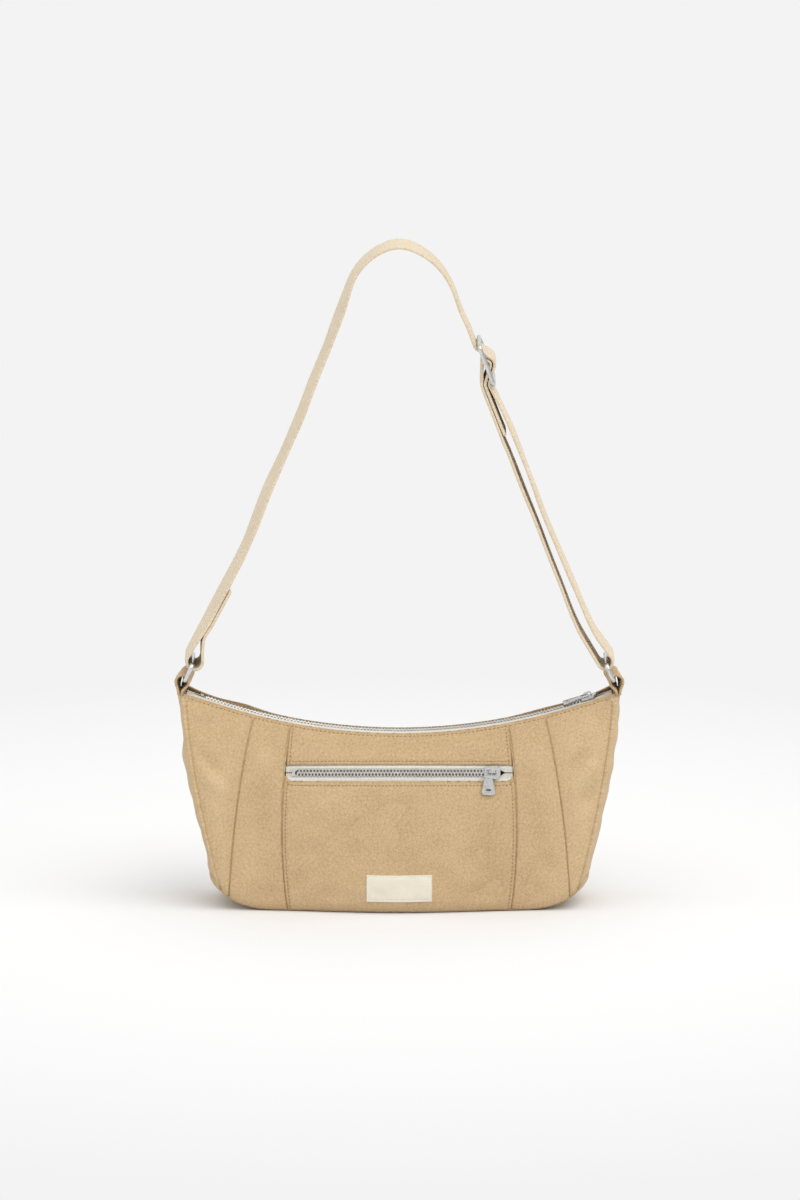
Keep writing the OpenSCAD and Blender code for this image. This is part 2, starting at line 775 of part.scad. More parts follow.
module strap_turn_left() {
    leave = beside_left(16, layer + 0.6);
    leave_angle = touch_angle(leave, left_turn, turn_r, false);
    path = concat(
        curve([
            beside_left(left_cut + 8, layer), beside_left(left_cut, layer), leave,
            on_circle(left_turn, turn_r, leave_angle)
        ], 4),
        arc_points(left_turn, turn_r, leave_angle, left_touch - 360, 18),
        [beside_left(left_cut, 0)]
    );
    color(webbing) band(path, strap_t, half_strap, -left_up, left_up);
}

module strap_left_end() {
    color(webbing)
        band([beside_left(left_cut, layer), beside_left(left_tip, layer)], strap_t, half_strap);
}

// The adjuster's place on the strap's right leg, and the leg's direction
slide_at = on_strap(0.4042, 0.7283);
leg_line = right_turn - slide_at;
leg_lean = atan(-leg_line[0] / leg_line[1]) - 1.114;
leg = [sin(leg_lean), -cos(leg_lean)];
out = [cos(leg_lean), sin(leg_lean)];
function on_leg(s, n) = slide_at + s * leg + n * out;
function on_legs(p) = [for (q = p) on_leg(q[0], q[1])];
function leg_dir(lean) = cos(lean) * leg + sin(lean) * out;

// Layers of strap lie concentric about the adjuster's three bars
bar_r1 = slide_wire / 2 + seat_gap + strap_t / 2;
bar_r2 = bar_r1 + layer;
bar_r3 = bar_r2 + layer;
bar_at = slide_h / 2;
cross = asin((bar_r1 + bar_r2) / bar_at);
beside = asin((bar_r3 - bar_r1) / bar_at);
weave_end = bar_at + 10;
weave_out = 6;
weave_n = -bar_r1 + 10 * tan(weave_out);

module strap_arch() {
    path = curve([
        left_split - 36 * left_up, left_split, on_strap(-0.6515, 0.3993), on_strap(-0.5516, 0.5162),
        on_strap(-0.4518, 0.6322), on_strap(-0.3594, 0.7482), on_strap(-0.2711, 0.8641),
        on_strap(-0.2072, 0.9321), on_strap(-0.1155, 0.9775), [-1, strap_top - strap_t / 2],
        on_strap(0.0951, 0.9828), on_strap(0.1834, 0.9503), on_strap(0.2446, 0.9039),
        on_strap(0.2853, 0.8476), on_leg(-weave_end, -bar_r1), on_leg(-weave_end + 16, -bar_r1)
    ], 5);
    color(webbing)
        band(concat([beside_left(left_cut, 0)], path), strap_t, half_strap, left_up, leg);
}

// From above, inside the top bar, out over the middle bar, and inside the bottom bar
module strap_weave() {
    path = concat(
        [[-weave_end, -bar_r1]],
        arc_points([-bar_at, 0], bar_r1, 270, 270 + cross, 6),
        arc_points([0, 0], bar_r2, 90 + cross, 90 - cross, 12),
        arc_points([bar_at, 0], bar_r1, 270 - cross, 270 + weave_out, 7),
        [[weave_end, weave_n]]
    );
    color(webbing) band(on_legs(path), strap_t, half_strap, leg, leg_dir(weave_out));
}

// Distance down the right leg at which the strap folds down, and its two layers there
run_end = norm(leg_line) - 28.86;
function run_s(t) = lerp(weave_end, run_end, t);
run_outer = 3.4;
run_inner = -5.6;
outer_dir = leg_dir(6);
inner_dir = leg_dir(4);

module strap_outer_run() {
    path = curve([
        [weave_end - 30, weave_n - 3], [weave_end, weave_n], [run_s(0.1745), 0.3],
        [run_s(0.3514), 0.3], [run_s(0.5165), 0.5], [run_s(0.6698), 1.2], [run_s(0.8349), 2.3],
        [run_end, run_outer], [run_end + 28, 7]
    ], 4);
    color(webbing) band(on_legs(path), strap_t, half_strap, leg_dir(weave_out), outer_dir);
}

sewn_out = weave_end + sewn_end_l;
sewn_n = -8;

module strap_inner_run() {
    path = curve([
        [run_end + 30, -2.6], [run_end, run_inner], [run_s(0.7995), -6.3], [run_s(0.5873), -6.7],
        [run_s(0.375), -7.3], [sewn_out + 4, sewn_n], [sewn_out - 32, sewn_n - 0.3]
    ], 4);
    color(webbing) band(on_legs(path), strap_t, half_strap, -inner_dir, -leg);
}

module strap_turn_right() {
    outer_last = on_leg(run_end + 12, 5.4);
    inner_last = on_leg(run_end + 12, -4.2);
    outer_angle = touch_angle(outer_last, right_turn, turn_r, false);
    inner_angle = touch_angle(inner_last, right_turn, turn_r, true);
    path = concat(
        curve([
            on_leg(run_end - 12, run_outer - 0.5), on_leg(run_end, run_outer), outer_last,
            on_circle(right_turn, turn_r, outer_angle)
        ], 4),
        arc_points(right_turn, turn_r, outer_angle, inner_angle - 360, 18),
        curve([
            on_circle(right_turn, turn_r, inner_angle), inner_last, on_leg(run_end, run_inner),
            on_leg(run_end - 12, run_inner - 0.3)
        ], 4)
    );
    color(webbing) band(path, strap_t, half_strap, outer_dir, -inner_dir);
}

// The other end goes up round the middle bar and is sewn back down to itself
module strap_sewn_end() {
    path = concat(
        [[sewn_out + 4, sewn_n], [bar_at + 8, -bar_r3]],
        arc_points([bar_at, 0], bar_r3, 270, 270 - beside, 4),
        arc_points([0, 0], bar_r1, 270 - beside, 90 - cross, 18),
        arc_points([bar_at, 0], bar_r2, 270 - cross, 270, 6),
        [[bar_at + 8, -bar_r2], [sewn_out, sewn_n + layer]]
    );
    color(webbing) band(on_legs(path), strap_t, half_strap, -leg, leg);
}

slide_half_l = half_strap + 1.4 + slide_wire / 2;

module adjuster_place() {
    translate([slide_at[0], 0, slide_at[1]])
        rotate([0, -leg_lean, 0])
            children();
}

module adjuster_frame() {
    color(metal)
        adjuster_place()
            translate([0, 0, -slide_h / 2])
                wire_frame(slide_h, slide_half_l, slide_wire);
}

module adjuster_bar() {
    half = slide_half_l - slide_wire / 2;
    color(metal)
        adjuster_place()
            translate([0, -half, 0])
                rotate([-90, 0, 0])
                    cylinder(d = slide_wire, h = 2 * half, $fn = 48);
}

front_centre_top();
front_centre_pocket();
front_inner_left();
front_inner_right();
front_outer_left();
front_outer_right();
back_centre();
back_inner_left();
back_inner_right();
back_outer_left();
back_outer_right();
side_strip_left();
side_strip_right();
base_panel();
lining_front();
lining_back();
lining_strip();
pocket_bag();
label();
top_tape_front();
top_tape_back();
top_teeth_front();
top_teeth_back();
top_zip_stops();
top_slider();
top_pull();
pocket_tape_upper();
pocket_tape_lower();
pocket_teeth_upper();
pocket_teeth_lower();
pocket_zip_stops();
pocket_slider();
pocket_pull();
loop_left();
loop_right();
ring_left();
ring_right();
strap_turn_left();
strap_left_end();
strap_arch();
strap_weave();
strap_outer_run();
strap_turn_right();
strap_inner_run();
strap_sewn_end();
adjuster_frame();
adjuster_bar();
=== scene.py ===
from math import acos, asin, atan, atan2, cos, pi, radians, sin, tan

import bpy
import numpy as np
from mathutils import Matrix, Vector


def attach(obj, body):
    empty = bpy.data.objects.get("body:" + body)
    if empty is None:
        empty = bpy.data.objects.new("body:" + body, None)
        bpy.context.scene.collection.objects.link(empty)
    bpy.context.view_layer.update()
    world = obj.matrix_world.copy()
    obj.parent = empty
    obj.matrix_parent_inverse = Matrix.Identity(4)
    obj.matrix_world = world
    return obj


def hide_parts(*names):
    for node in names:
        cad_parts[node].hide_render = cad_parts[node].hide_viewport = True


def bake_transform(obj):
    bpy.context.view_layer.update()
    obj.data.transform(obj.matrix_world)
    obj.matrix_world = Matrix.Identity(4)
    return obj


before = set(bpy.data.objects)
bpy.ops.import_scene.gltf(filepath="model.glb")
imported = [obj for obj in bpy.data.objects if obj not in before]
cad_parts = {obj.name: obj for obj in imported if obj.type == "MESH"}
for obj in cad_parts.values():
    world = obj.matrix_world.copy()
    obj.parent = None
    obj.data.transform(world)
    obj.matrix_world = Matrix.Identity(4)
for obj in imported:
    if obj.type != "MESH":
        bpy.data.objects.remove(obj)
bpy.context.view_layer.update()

# The place: a plain pale floor that runs out into a sky of the same tone, an even light from the
# whole sky, one wide soft sun from the upper right and weaker ones from the left and behind. The
# camera looks at the bag's front from a little above its top edge.
lens_tilt = radians(11.5)
lens_away = 6.0
lens_aim = Vector((0.0005, 0.0, 0.212))


def put_in_scene(name, data):
    thing = bpy.data.objects.new(name, data)
    bpy.context.scene.collection.objects.link(thing)
    return thing


lens = bpy.data.cameras.new("lens")
lens.lens = 261.7
lens.clip_start = 0.05
camera = put_in_scene("camera", lens)
camera.location = lens_aim + lens_away * Vector((0, -cos(lens_tilt), sin(lens_tilt)))
camera.rotation_euler = (lens_aim - camera.location).to_track_quat("-Z", "Y").to_euler()
bpy.context.scene.camera = camera
bpy.context.scene.view_settings.view_transform = "Standard"


class Thread:
    """A socket in a finish's node tree. Sums written with it add the Math nodes they need."""

    def __init__(self, tree, socket=None):
        self.tree = tree
        self.socket = socket

    def make(self, kind, settings, values, out=0):
        """Adds a node: settings are set first, then each input gets its value or its link."""
        node = self.tree.nodes.new(kind)
        for name, value in settings.items():
            setattr(node, name, value)
        for name, value in values.items():
            if isinstance(value, Thread):
                self.tree.links.new(value.socket, node.inputs[name])
            else:
                node.inputs[name].default_value = value
        return Thread(self.tree, node.outputs[out] if len(node.outputs) else None)

    def math(self, operation, *values):
        return self.make("ShaderNodeMath", {"operation": operation}, dict(enumerate(values)))

    def __add__(self, other):
        return self.math("ADD", self, other)

    def __sub__(self, other):
        return self.math("SUBTRACT", self, other)

    def __rsub__(self, other):
        return self.math("SUBTRACT", other, self)

    def __mul__(self, other):
        return self.math("MULTIPLY", self, other)

    __radd__ = __add__
    __rmul__ = __mul__

    def wave(self, length):
        return self.math("SINE", self * (2 * pi / length))

    def between(self, low, high):
        """0 where this is at low, 1 where it is at high, and kept inside that."""
        return self.make("ShaderNodeMapRange", {"clamp": True}, {0: self, 1: low, 2: high})

    def tint(self, first, second):
        """A colour between two others, by this number."""
        return self.make("ShaderNodeMix", {"data_type": "RGBA"}, {0: self, 6: first, 7: second}, 2)


def empty_tree(owner):
    """Clears the nodes of a finish or of the sky, for new ones."""
    owner.use_nodes = True
    owner.node_tree.nodes.clear()
    return Thread(owner.node_tree)


def start_finish(name):
    finish = bpy.data.materials.new(name)
    return finish, empty_tree(finish)


def end_finish(start, surface):
    start.make("ShaderNodeOutputMaterial", {}, {"Surface": surface})


def grey(level):
    return (level, level, level, 1.0)


paper, sky_light = 0.896, 0.60
sky = bpy.data.worlds.new("sky")
bpy.context.scene.world = sky
air = empty_tree(sky)
seen = air.make("ShaderNodeLightPath", {}, {}, "Is Camera Ray")
air.make("ShaderNodeOutputWorld", {}, {"Surface": air.make("ShaderNodeBackground", {}, {
    "Color": grey(1.0), "Strength": seen * (paper - sky_light) + sky_light})})

for name, turn, height, strength, spread in (
        ("key", 50, 50, 1.6, 60), ("fill", -52, 42, 0.8, 80), ("back", 165, 45, 0.5, 80)):
    lamp = bpy.data.lights.new(name, "SUN")
    lamp.energy = strength
    lamp.angle = radians(spread)
    turn, height = radians(turn), radians(height)
    towards = Vector((sin(turn) * cos(height), -cos(turn) * cos(height), sin(height)))
    put_in_scene(name, lamp).rotation_euler = towards.to_track_quat("Z", "Y").to_euler()

floor_half, floor_back, floor_z = 8.0, 30.0, -0.0004
floor_tone, shade_from, shade_to = 0.80, 0.28, 0.75
floor_mesh = bpy.data.meshes.new("floor")
floor_mesh.from_pydata(
    [(-floor_half, -floor_half, floor_z), (floor_half, -floor_half, floor_z),
     (floor_half, floor_back, floor_z), (-floor_half, floor_back, floor_z)], [], [(0, 1, 2, 3)])
floor_finish, t = start_finish("floor")
place = t.make("ShaderNodeTexCoord", {}, {}, "Object")
reach = t.make("ShaderNodeVectorMath", {"operation": "LENGTH"}, {0: place}, "Value")
far = reach.between(shade_from, shade_to)
seen = t.make("ShaderNodeLightPath", {}, {}, "Is Camera Ray")
lit = t.make("ShaderNodeBsdfDiffuse", {}, {"Color": grey(floor_tone)})
plain = t.make("ShaderNodeEmission", {}, {"Color": grey(paper), "Strength": 1.0})
end_finish(t, t.make("ShaderNodeMixShader", {}, {0: far * seen, 1: lit, 2: plain}))
floor_mesh.materials.append(floor_finish)
put_in_scene("floor", floor_mesh)

# The bag's shell: panels of brushed cotton twill with a stiff backing. The front and the back are
# five panels each, seamed to each other, to a strip down each side and to the base. The shell is
# lofted from the corners' curve to the zip's curve and sags between its seams.
MM = 0.001
# Sizes from here on are in millimetres. On the shell, u goes from -1 at the left to 1 at the right,
# v from 0 at the bottom to 1 at the zip, and w from -1 at the front to 1 at the back.
base_half_w, top_half_w, mid_h, zip_r = 126.0, 150.0, 120.0, 395.0
belly_half_d, strip_half_d, strip_top_d, mouth_half = 41.0, 33.0, 17.0, 8.0
corner_h, corner_from, strip_bulge, canvas_t = 22.0, 0.7, 6.0, 1.6
flare_power, belly_power, strip_power = 1.5, 2.2, 1.3
slot_z, slot_h, slot_half_l, slot_lean = 94.5, 12.0, 78.0, radians(22.5)
slot_part = slot_z / mid_h
slot_round = 4.0
back_in = canvas_t - 0.1


def lerp(a, b, t):
    return a + (b - a) * t


def ease(t):
    c = np.clip(t, 0, 1)
    return c * c * (3 - 2 * c)


def top_z(u):
    return mid_h + zip_r - np.sqrt(zip_r ** 2 - (u * top_half_w) ** 2)


def corner_t(u):
    return np.maximum(0, (np.abs(u) - corner_from) / (1 - corner_from))


def bottom_z(u):
    return corner_h * (1 - np.sqrt(np.maximum(0, 1 - corner_t(u) ** 2)))


def half_w(v):
    return lerp(base_half_w, top_half_w, 1 - np.maximum(0, 1 - v) ** flare_power)


def half_d(u, v):
    """Half the bag's depth. Its belly is as full all along the pocket's zip, which is straight."""
    hem_tuck, hem_v = 3, 0.07
    v = np.clip(v, 0, 1)
    belly = (belly_half_d - mouth_half) * (1 - slot_part ** belly_power) \
        / (1 - (slot_z / top_z(u)) ** belly_power)
    middle = mouth_half + belly * (1 - v ** belly_power)
    side = lerp(strip_half_d, strip_top_d, v ** strip_power)
    tuck = hem_tuck * np.maximum(0, 1 - v / hem_v) ** 2
    return lerp(middle, side, np.abs(u) ** (2.5 + 12 * v ** 6)) - tuck


def points(x, y, z):
    return np.stack(np.broadcast_arrays(x, y, z), axis=-1).astype(float)


def shell_z(u, v, inset):
    return lerp(bottom_z(u) + inset, top_z(u), v)


def face_at(side, u, v, inset):
    """Points of the front (side -1) or the back (side 1), this far inside it."""
    return points(u * (half_w(v) - inset), side * (half_d(u, v) - inset), shell_z(u, v, inset))


def bulge(v):
    """How far the side strip stands out in its middle."""
    return lerp(strip_bulge, strip_bulge / 2, v)


def strip_at(side, w, v, inset):
    """Points of the side strip, this far inside it."""
    return points(side * (half_w(v) - inset + bulge(v) * (1 - w * w)),
                  w * (half_d(1.0, v) - inset), shell_z(1.0, v, inset))


def base_at(u, w, inset):
    """Points of the base, this far inside it. Its ends curve up and bulge as the strips do."""
    out = np.sign(u) * bulge(0) * (1 - w * w) * ease(corner_t(u))
    return points(u * (base_half_w - inset) + out, w * (half_d(u, 0 * u) - inset),
                  bottom_z(u) + inset)


def slot_v(u, up):
    """The slot's lower (up -1) or upper (up 1) edge. Its ends are rounded."""
    c = np.clip((np.abs(u) * half_w(slot_part) - slot_half_l + 0.8 * slot_round) / slot_round, 0, 1)
    tall = slot_h / 2 * cos(slot_lean) * (1 - 0.6 * (1 - np.sqrt(1 - c * c)))
    return (slot_z + up * tall) / top_z(u)


def beside_seams(length, step):
    """Places across a piece of cloth, closer together beside the seams at its two ends."""
    near = [0, 0.12, 0.35, 0.7, 1.1, 1.6, 2.1, 2.6, 3.3, 4.4, 6]
    rest = length - 2 * near[-1]
    count = max(1, round(rest / step))
    between = [near[-1] + rest * i / count for i in range(1, count)]
    return np.array(near + between + [length - d for d in reversed(near)]) / length


def swells(p, size, seed):
    """Soft random swells about this many millimetres apart, mostly between -1 and 1."""
    chance = np.random.default_rng(seed)
    total = np.zeros(p.shape[:-1])
    for _ in range(16):
        way = chance.normal(size=3)
        way *= 2 * pi / size * chance.uniform(0.7, 1.4) / np.linalg.norm(way)
        total += np.cos(p @ way + chance.uniform(0, 2 * pi))
    return total / 3.6


def crease(p, a, b, wide, high):
    """A soft ridge (or a hollow) from a to b, both as (x, z), fading out towards its ends."""
    a, b = np.array(a), np.array(b)
    q = p[..., [0, 2]]
    t = np.clip(((q - a) @ (b - a)) / ((b - a) @ (b - a)), 0, 1)
    off = np.linalg.norm(q - a - t[..., None] * (b - a), axis=-1)
    return high * np.exp(-(off / wide) ** 2) * (1 - (2 * t - 1) ** 4)


def out_of(grid):
    """The way out of a grid of points, at each of them."""
    n = np.cross(np.gradient(grid, axis=1), np.gradient(grid, axis=0))
    return n / np.maximum(np.linalg.norm(n, axis=-1, keepdims=True), 1e-9)


def add_mesh(name, verts, faces, finish, uv, fold=None):
    """A mesh from millimetres, with its weave's coordinates and the painted light and shade of its
    folds at each point.
    """
    mesh = bpy.data.meshes.new(name)
    mesh.from_pydata((np.asarray(verts) * MM).tolist(), [], [list(map(int, f)) for f in faces])
    mesh.validate()
    mesh.update()
    mesh.polygons.foreach_set("use_smooth", [True] * len(mesh.polygons))
    layer = mesh.uv_layers.new(name="weave")
    at = np.zeros(len(mesh.loops), dtype=np.int32)
    mesh.loops.foreach_get("vertex_index", at)
    layer.data.foreach_set("uv", np.asarray(uv, dtype=np.float32)[at].ravel())
    if fold is not None:
        painted_shading = mesh.attributes.new("fold", "FLOAT", "POINT")
        painted_shading.data.foreach_set("value", np.asarray(fold, dtype=np.float32).ravel())
    mesh.materials.append(finish)
    piece = put_in_scene(name, mesh)
    return piece


def two_sided(rows, cols, flip, ends):
    """Faces of a sheet between two grids of points, closed along the edges that ends says."""
    ids = np.arange(rows * cols).reshape(rows, cols)
    quads = np.stack([ids[:-1, :-1], ids[:-1, 1:], ids[1:, 1:], ids[1:, :-1]], -1).reshape(-1, 4)
    n = rows * cols
    faces = [quads, quads[:, ::-1] + n]
    edges = (ids[0, ::-1], ids[-1, :], ids[:, 0], ids[::-1, -1])
    for wanted, line in zip(ends, edges):
        if wanted:
            faces.append(np.stack([line[:-1], line[1:], line[1:] + n, line[:-1] + n], -1))
    faces = np.concatenate(faces)
    return faces[:, ::-1] if flip else faces


def add_sheet(name, outer, inner, finish, weave, fold=0.0, flip=False,
              ends=(True, True, True, True)):
    """A piece of cloth between two grids. ends: first row, last row, first and last column."""
    rows, cols = outer.shape[:2]
    verts = np.concatenate([outer.reshape(-1, 3), inner.reshape(-1, 3)])
    uv = np.concatenate([weave.reshape(-1, 2)] * 2)
    painted_shading = np.broadcast_to(fold, (rows, cols)).ravel()
    return add_mesh(name, verts, two_sided(rows, cols, flip, ends), finish, uv,
                    np.concatenate([painted_shading, 0 * painted_shading]))


def cloth_finish(name, dark, light, twill, speck, rough, sheen, deep):
    """Woven cotton: specks that cross on both slants, the weave's ribs, fuzz, and the painted light
    and shade that the mesh's fold attribute holds.
    twill and speck are the ribs' and the specks' sizes, deep is how far the weave stands up."""
    speck_share, cloud_share, rib_share, fuzz_share, painted_light_share = 0.62, 0.12, 0.08, 0.18, 0.17
    finish, t = start_finish(name)
    uv = t.make("ShaderNodeUVMap", {"uv_map": "weave"}, {})
    specks = []
    for slant in (radians(45), radians(-45)):
        turned = t.make("ShaderNodeMapping", {"vector_type": "TEXTURE"},
                        {0: uv, "Rotation": (0, 0, slant), "Scale": (speck, 2.4 * speck, 1)})
        specks.append(t.make("ShaderNodeTexNoise", {},
                             {"Vector": turned, "Scale": 1.0, "Detail": 2.5, "Roughness": 0.6}))
    speckle = (specks[0] + specks[1]) * 0.5
    cloud = t.make("ShaderNodeTexNoise", {}, {"Vector": uv, "Scale": 0.09, "Detail": 3.0})
    across = t.make("ShaderNodeSeparateXYZ", {}, {0: uv}, "X")
    up = t.make("ShaderNodeSeparateXYZ", {}, {0: uv}, "Y")
    ribs = (across + up).wave(twill) * 0.5 + (across - up).wave(twill * 0.52) * 0.3 + 0.5
    fuzz = t.make("ShaderNodeTexNoise", {}, {"Vector": uv, "Scale": 2.6, "Detail": 3.0})
    # Painted light and shade: the fold attribute makes the colour paler where cloth stands high and
    # darker in its hollows and beside its seams.
    fold = t.make("ShaderNodeAttribute", {"attribute_name": "fold"}, {}, "Fac")
    tone = (speckle.between(0.39, 0.61) * speck_share + cloud.between(0.3, 0.7) * cloud_share
            + ribs * rib_share + fuzz.between(0.3, 0.7) * fuzz_share + fold * painted_light_share)
    height = speckle * 0.75 + ribs * 0.30 + fuzz * 0.35
    normal = t.make("ShaderNodeBump", {}, {"Height": height, "Strength": 0.55, "Distance": deep})
    end_finish(t, t.make("ShaderNodeBsdfPrincipled", {}, {
        "Base Color": tone.between(0.0, 1.0).tint((*dark, 1), (*light, 1)),
        "Roughness": speckle.between(0.2, 0.8) * -0.08 + rough,
        "Sheen Weight": sheen, "Sheen Roughness": 0.45, "Sheen Tint": (1.0, 0.96, 0.88, 1),
        "Specular IOR Level": 0.25, "Normal": normal}))
    return finish


canvas = cloth_finish("canvas", (0.41, 0.275, 0.135), (0.665, 0.49, 0.29), 0.82, 0.85, 0.93, 0.22,
                      0.00045)
# The thread's colours are brown thread darkened with painted shade of the dimples that the stitches
# sink into.
canvas_thread = cloth_finish("canvas_thread", (0.21, 0.125, 0.05), (0.38, 0.245, 0.115), 0.35, 0.5,
                             0.8, 0.1, 0.0001)
cloth_step = 2.4
stitch_in, top_stitch_in, stitch_sink = 2.3, 1.6, 0.38
slack_from, fold_depth, pucker_reach = 14, 2.1, 3.4
corner_rounds, wrap = 8, 3.4
# Folds of the front (-1) and the back (1): both ends as (x, z), how wide and how high each is.
folds = {
    -1: (((-146, 107), (-114, 75), 5.0, 1.5), ((-150, 118), (-122, 96), 4.5, -0.8),
         ((117, 80), (137, 106), 4.0, 1.4), ((124, 72), (143, 96), 4.0, -0.9),
         ((112, 92), (128, 112), 3.5, -0.7), ((118, 60), (136, 74), 4.0, 0.8),
         ((-128, 40), (-112, 26), 5.0, 0.7), ((-60, 14), (-20, 10), 4.0, -0.5),
         ((40, 13), (95, 17), 4.0, -0.6)),
    1: (((-118, 70), (-139, 104), 5.0, 1.3), ((122, 66), (142, 100), 4.5, 1.1),
        ((-40, 40), (20, 55), 9.0, 0.8), ((60, 90), (100, 70), 6.0, -0.7))}
strip_folds = (((-3, 140), (2, 85), 5, -1.1), ((9, 120), (13, 60), 4.5, 0.7),
               ((-11, 118), (-16, 58), 4.5, 0.6))
# How far the top edges stand up, and their waves: where, how wide and how high each is.
edge_rise = {-1: -0.3, 1: 0.9}
edge_waves = {-1: (), 1: ((-108, 14, 1.7), (100, 16, 0.9))}


def seam_pull(d):
    """How far cloth rolls in beside a seam, d millimetres away from it."""
    return -1.05 * np.exp(-(d / 0.5) ** 2) - 0.35 * np.exp(-(d / 2.4) ** 2)


def slack(side, p):
    """How the cloth of the front (side -1) or the back (side 1) sags and creases."""
    lift = 0.85 * swells(p, 58, 3) + 0.38 * swells(p, 22, 4)
    for fold in folds[side]:
        lift = lift + fold_depth * crease(p, *fold)
    return lift


def painted_fold_light(lift, inside, painted_side_light, seam_dark):
    """Painted light and shade for the folds: a painted highlight where cloth stands high, painted
    shade where it sinks, painted light on cloth towards the bag's sides, and painted shade beside
    the seams round it.
    """
    return np.clip(lift * 0.5 + painted_side_light - seam_dark * np.exp(-(inside / 0.45) ** 2), -2.2, 1.9)


def nearest(far):
    """How far each point is from the nearest of its piece's four edges."""
    return np.minimum(np.minimum(far["left"], far["right"]), np.minimum(far["low"], far["high"]))


panels = {}


def add_panel(name, side, left, right, low, high, stitched):
    """One panel of the front (side -1) or the back (side 1). left(v) and right(v) are its seams,
    low(u) and high(u) its lower and upper edge; stitched names its topstitched edges."""
    wide = float((right(0.5) - left(0.5)) * half_w(0.5))
    middle = (left(0.5) + right(0.5)) / 2
    tall = float((high(middle) - low(middle)) * top_z(middle))
    t, s = np.meshgrid(beside_seams(tall, cloth_step), beside_seams(wide, cloth_step),
                       indexing="ij")
    guess = lerp(low(0.0), high(0.0), t)
    u = lerp(left(guess), right(guess), s)
    v = lerp(low(u), high(u), t)
    base = face_at(side, u, v, 0.0)
    across = (right(guess) - left(guess)) * half_w(v)
    along = (high(u) - low(u)) * (top_z(u) - bottom_z(u))
    far = {"left": s * across, "right": (1 - s) * across, "low": t * along, "high": (1 - t) * along}
    normal = out_of(base) * -side
    inside = nearest(far)
    lift = slack(side, base) * ease(inside / slack_from)
    for edge, d in far.items():
        run = base[..., 2] if edge in ("left", "right") else base[..., 0]
        pucker = np.sin(run * 2 * pi / 6.3 + 1.7 * np.sin(run / 11)) * np.exp(-d / pucker_reach)
        lift += seam_pull(d) + 0.17 * pucker
        sewn = top_stitch_in if edge == "high" and high is top_line else stitch_in
        if edge in stitched:
            lift -= stitch_sink * np.exp(-((d - sewn) / 0.5) ** 2)
    outer = base + normal * lift[..., None]
    inner = face_at(side, u, v, back_in)
    if high is top_line:
        rise = edge_rise[side]
        for at, wide, high_up in edge_waves[side]:
            rise = rise + high_up * np.exp(-((outer[..., 0] - at) / wide) ** 2)
        for face in (outer, inner):
            face[..., 2] += rise * np.exp(-(far["high"] / 6) ** 2)
    weave = np.stack([u * half_w(v) + 300 * side, base[..., 2]], -1)
    # Painted light: the outer panels are made paler towards the bag's sides, more on the side the
    # key sun comes from.
    painted_side_light = ease((np.abs(u) - 0.55) / 0.4) * np.where(u > 0, 1.1, 0.5)
    # The panel's fold attribute holds painted light and shade from its folds, its seams and its
    # sides.
    piece = add_sheet(name, outer, inner, canvas, weave,
                      painted_fold_light(lift, inside, painted_side_light, 1.9), side > 0)
    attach(piece, "bag")
    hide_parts(name)
    panels[name] = (outer, normal, far)


def centre_seam(v):
    """The right seam of the centre panel: it meets the slot's end and slants in above it."""
    past_slot, slant, power = 0.8, 0.111, 1.5
    return (slot_half_l + past_slot) / half_w(slot_part) + slant * (slot_part ** power - v ** power)


def outer_seam(v):
    foot, slant, power = 0.936, 0.269, 0.9
    return foot - slant * v ** power


def side_seam(v):
    """The seam to the side strip, which wraps this far round onto the face."""
    return 1 - wrap / half_w(v)


def on_left(seam):
    """The left seam that matches a right one."""
    return lambda v: -seam(v)


def bottom_line(u):
    return 0 * u


def top_line(u):
    return 1 + 0 * u


def slot_low(u):
    return slot_v(u, -1)


def slot_high(u):
    return slot_v(u, 1)


left_centre, left_outer, left_side = map(on_left, (centre_seam, outer_seam, side_seam))
add_panel("front_centre_top", -1, left_centre, centre_seam, slot_high, top_line,
          ("left", "right", "high", "low"))
add_panel("front_centre_pocket", -1, left_centre, centre_seam, bottom_line, slot_low,
          ("left", "right", "high"))
add_panel("back_centre", 1, left_centre, centre_seam, bottom_line, top_line,
          ("left", "right", "high"))
for face, side in (("front_", -1), ("back_", 1)):
    for name, left, right in (("inner_left", left_outer, left_centre),
                              ("inner_right", centre_seam, outer_seam),
                              ("outer_left", left_side, left_outer),
                              ("outer_right", outer_seam, side_seam)):
        add_panel(face + name, side, left, right, bottom_line, top_line, ("high",))


def add_stitches(name, lines, finish, slot_name, pitch, length, radius):
    """Rows of separate stitches along lines of points, each with the way out of the cloth."""
    rings = np.array([(-0.5, 0.25, -0.75), (-0.36, 0.8, -0.15), (-0.12, 1, 0.25), (0.12, 1, 0.25),
                      (0.36, 0.8, -0.15), (0.5, 0.25, -0.75)])
    sides = 6
    ids = np.arange(len(rings) * sides).reshape(len(rings), sides)
    beside = np.roll(ids, -1, axis=1)
    walls = np.stack([ids[:-1], beside[:-1], beside[1:], ids[1:]], -1).reshape(-1, 4)
    verts, faces = [], []
    for path, normal in lines:
        far = np.concatenate([[0], np.cumsum(np.linalg.norm(np.diff(path, axis=0), axis=1))])
        total = max(1, int(far[-1] / pitch))
        for i in range(total):
            mid = (i + 0.5) * far[-1] / total
            ends = [np.array([np.interp(mid + d, far, path[:, k]) for k in range(3)])
                    for d in (-length / 2, length / 2)]
            n = np.array([np.interp(mid, far, normal[:, k]) for k in range(3)])
            way = ends[1] - ends[0]
            way /= max(np.linalg.norm(way), 1e-9)
            n -= way * (n @ way)
            n /= np.linalg.norm(n)
            b = np.cross(way, n)
            centre = (ends[0] + ends[1]) / 2
            for place, fat, lift in rings:
                at = centre + way * place * length + n * lift * radius
                for k in range(sides):
                    a = 2 * pi * k / sides
                    verts.append(at + radius * fat * (b * cos(a) + n * sin(a)))
            faces.append(walls + len(faces) * ids.size)
    piece = add_mesh(name, verts, np.concatenate(faces), finish,
                     np.array(verts)[:, [0, 2]] * 2)
    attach(piece, "bag")


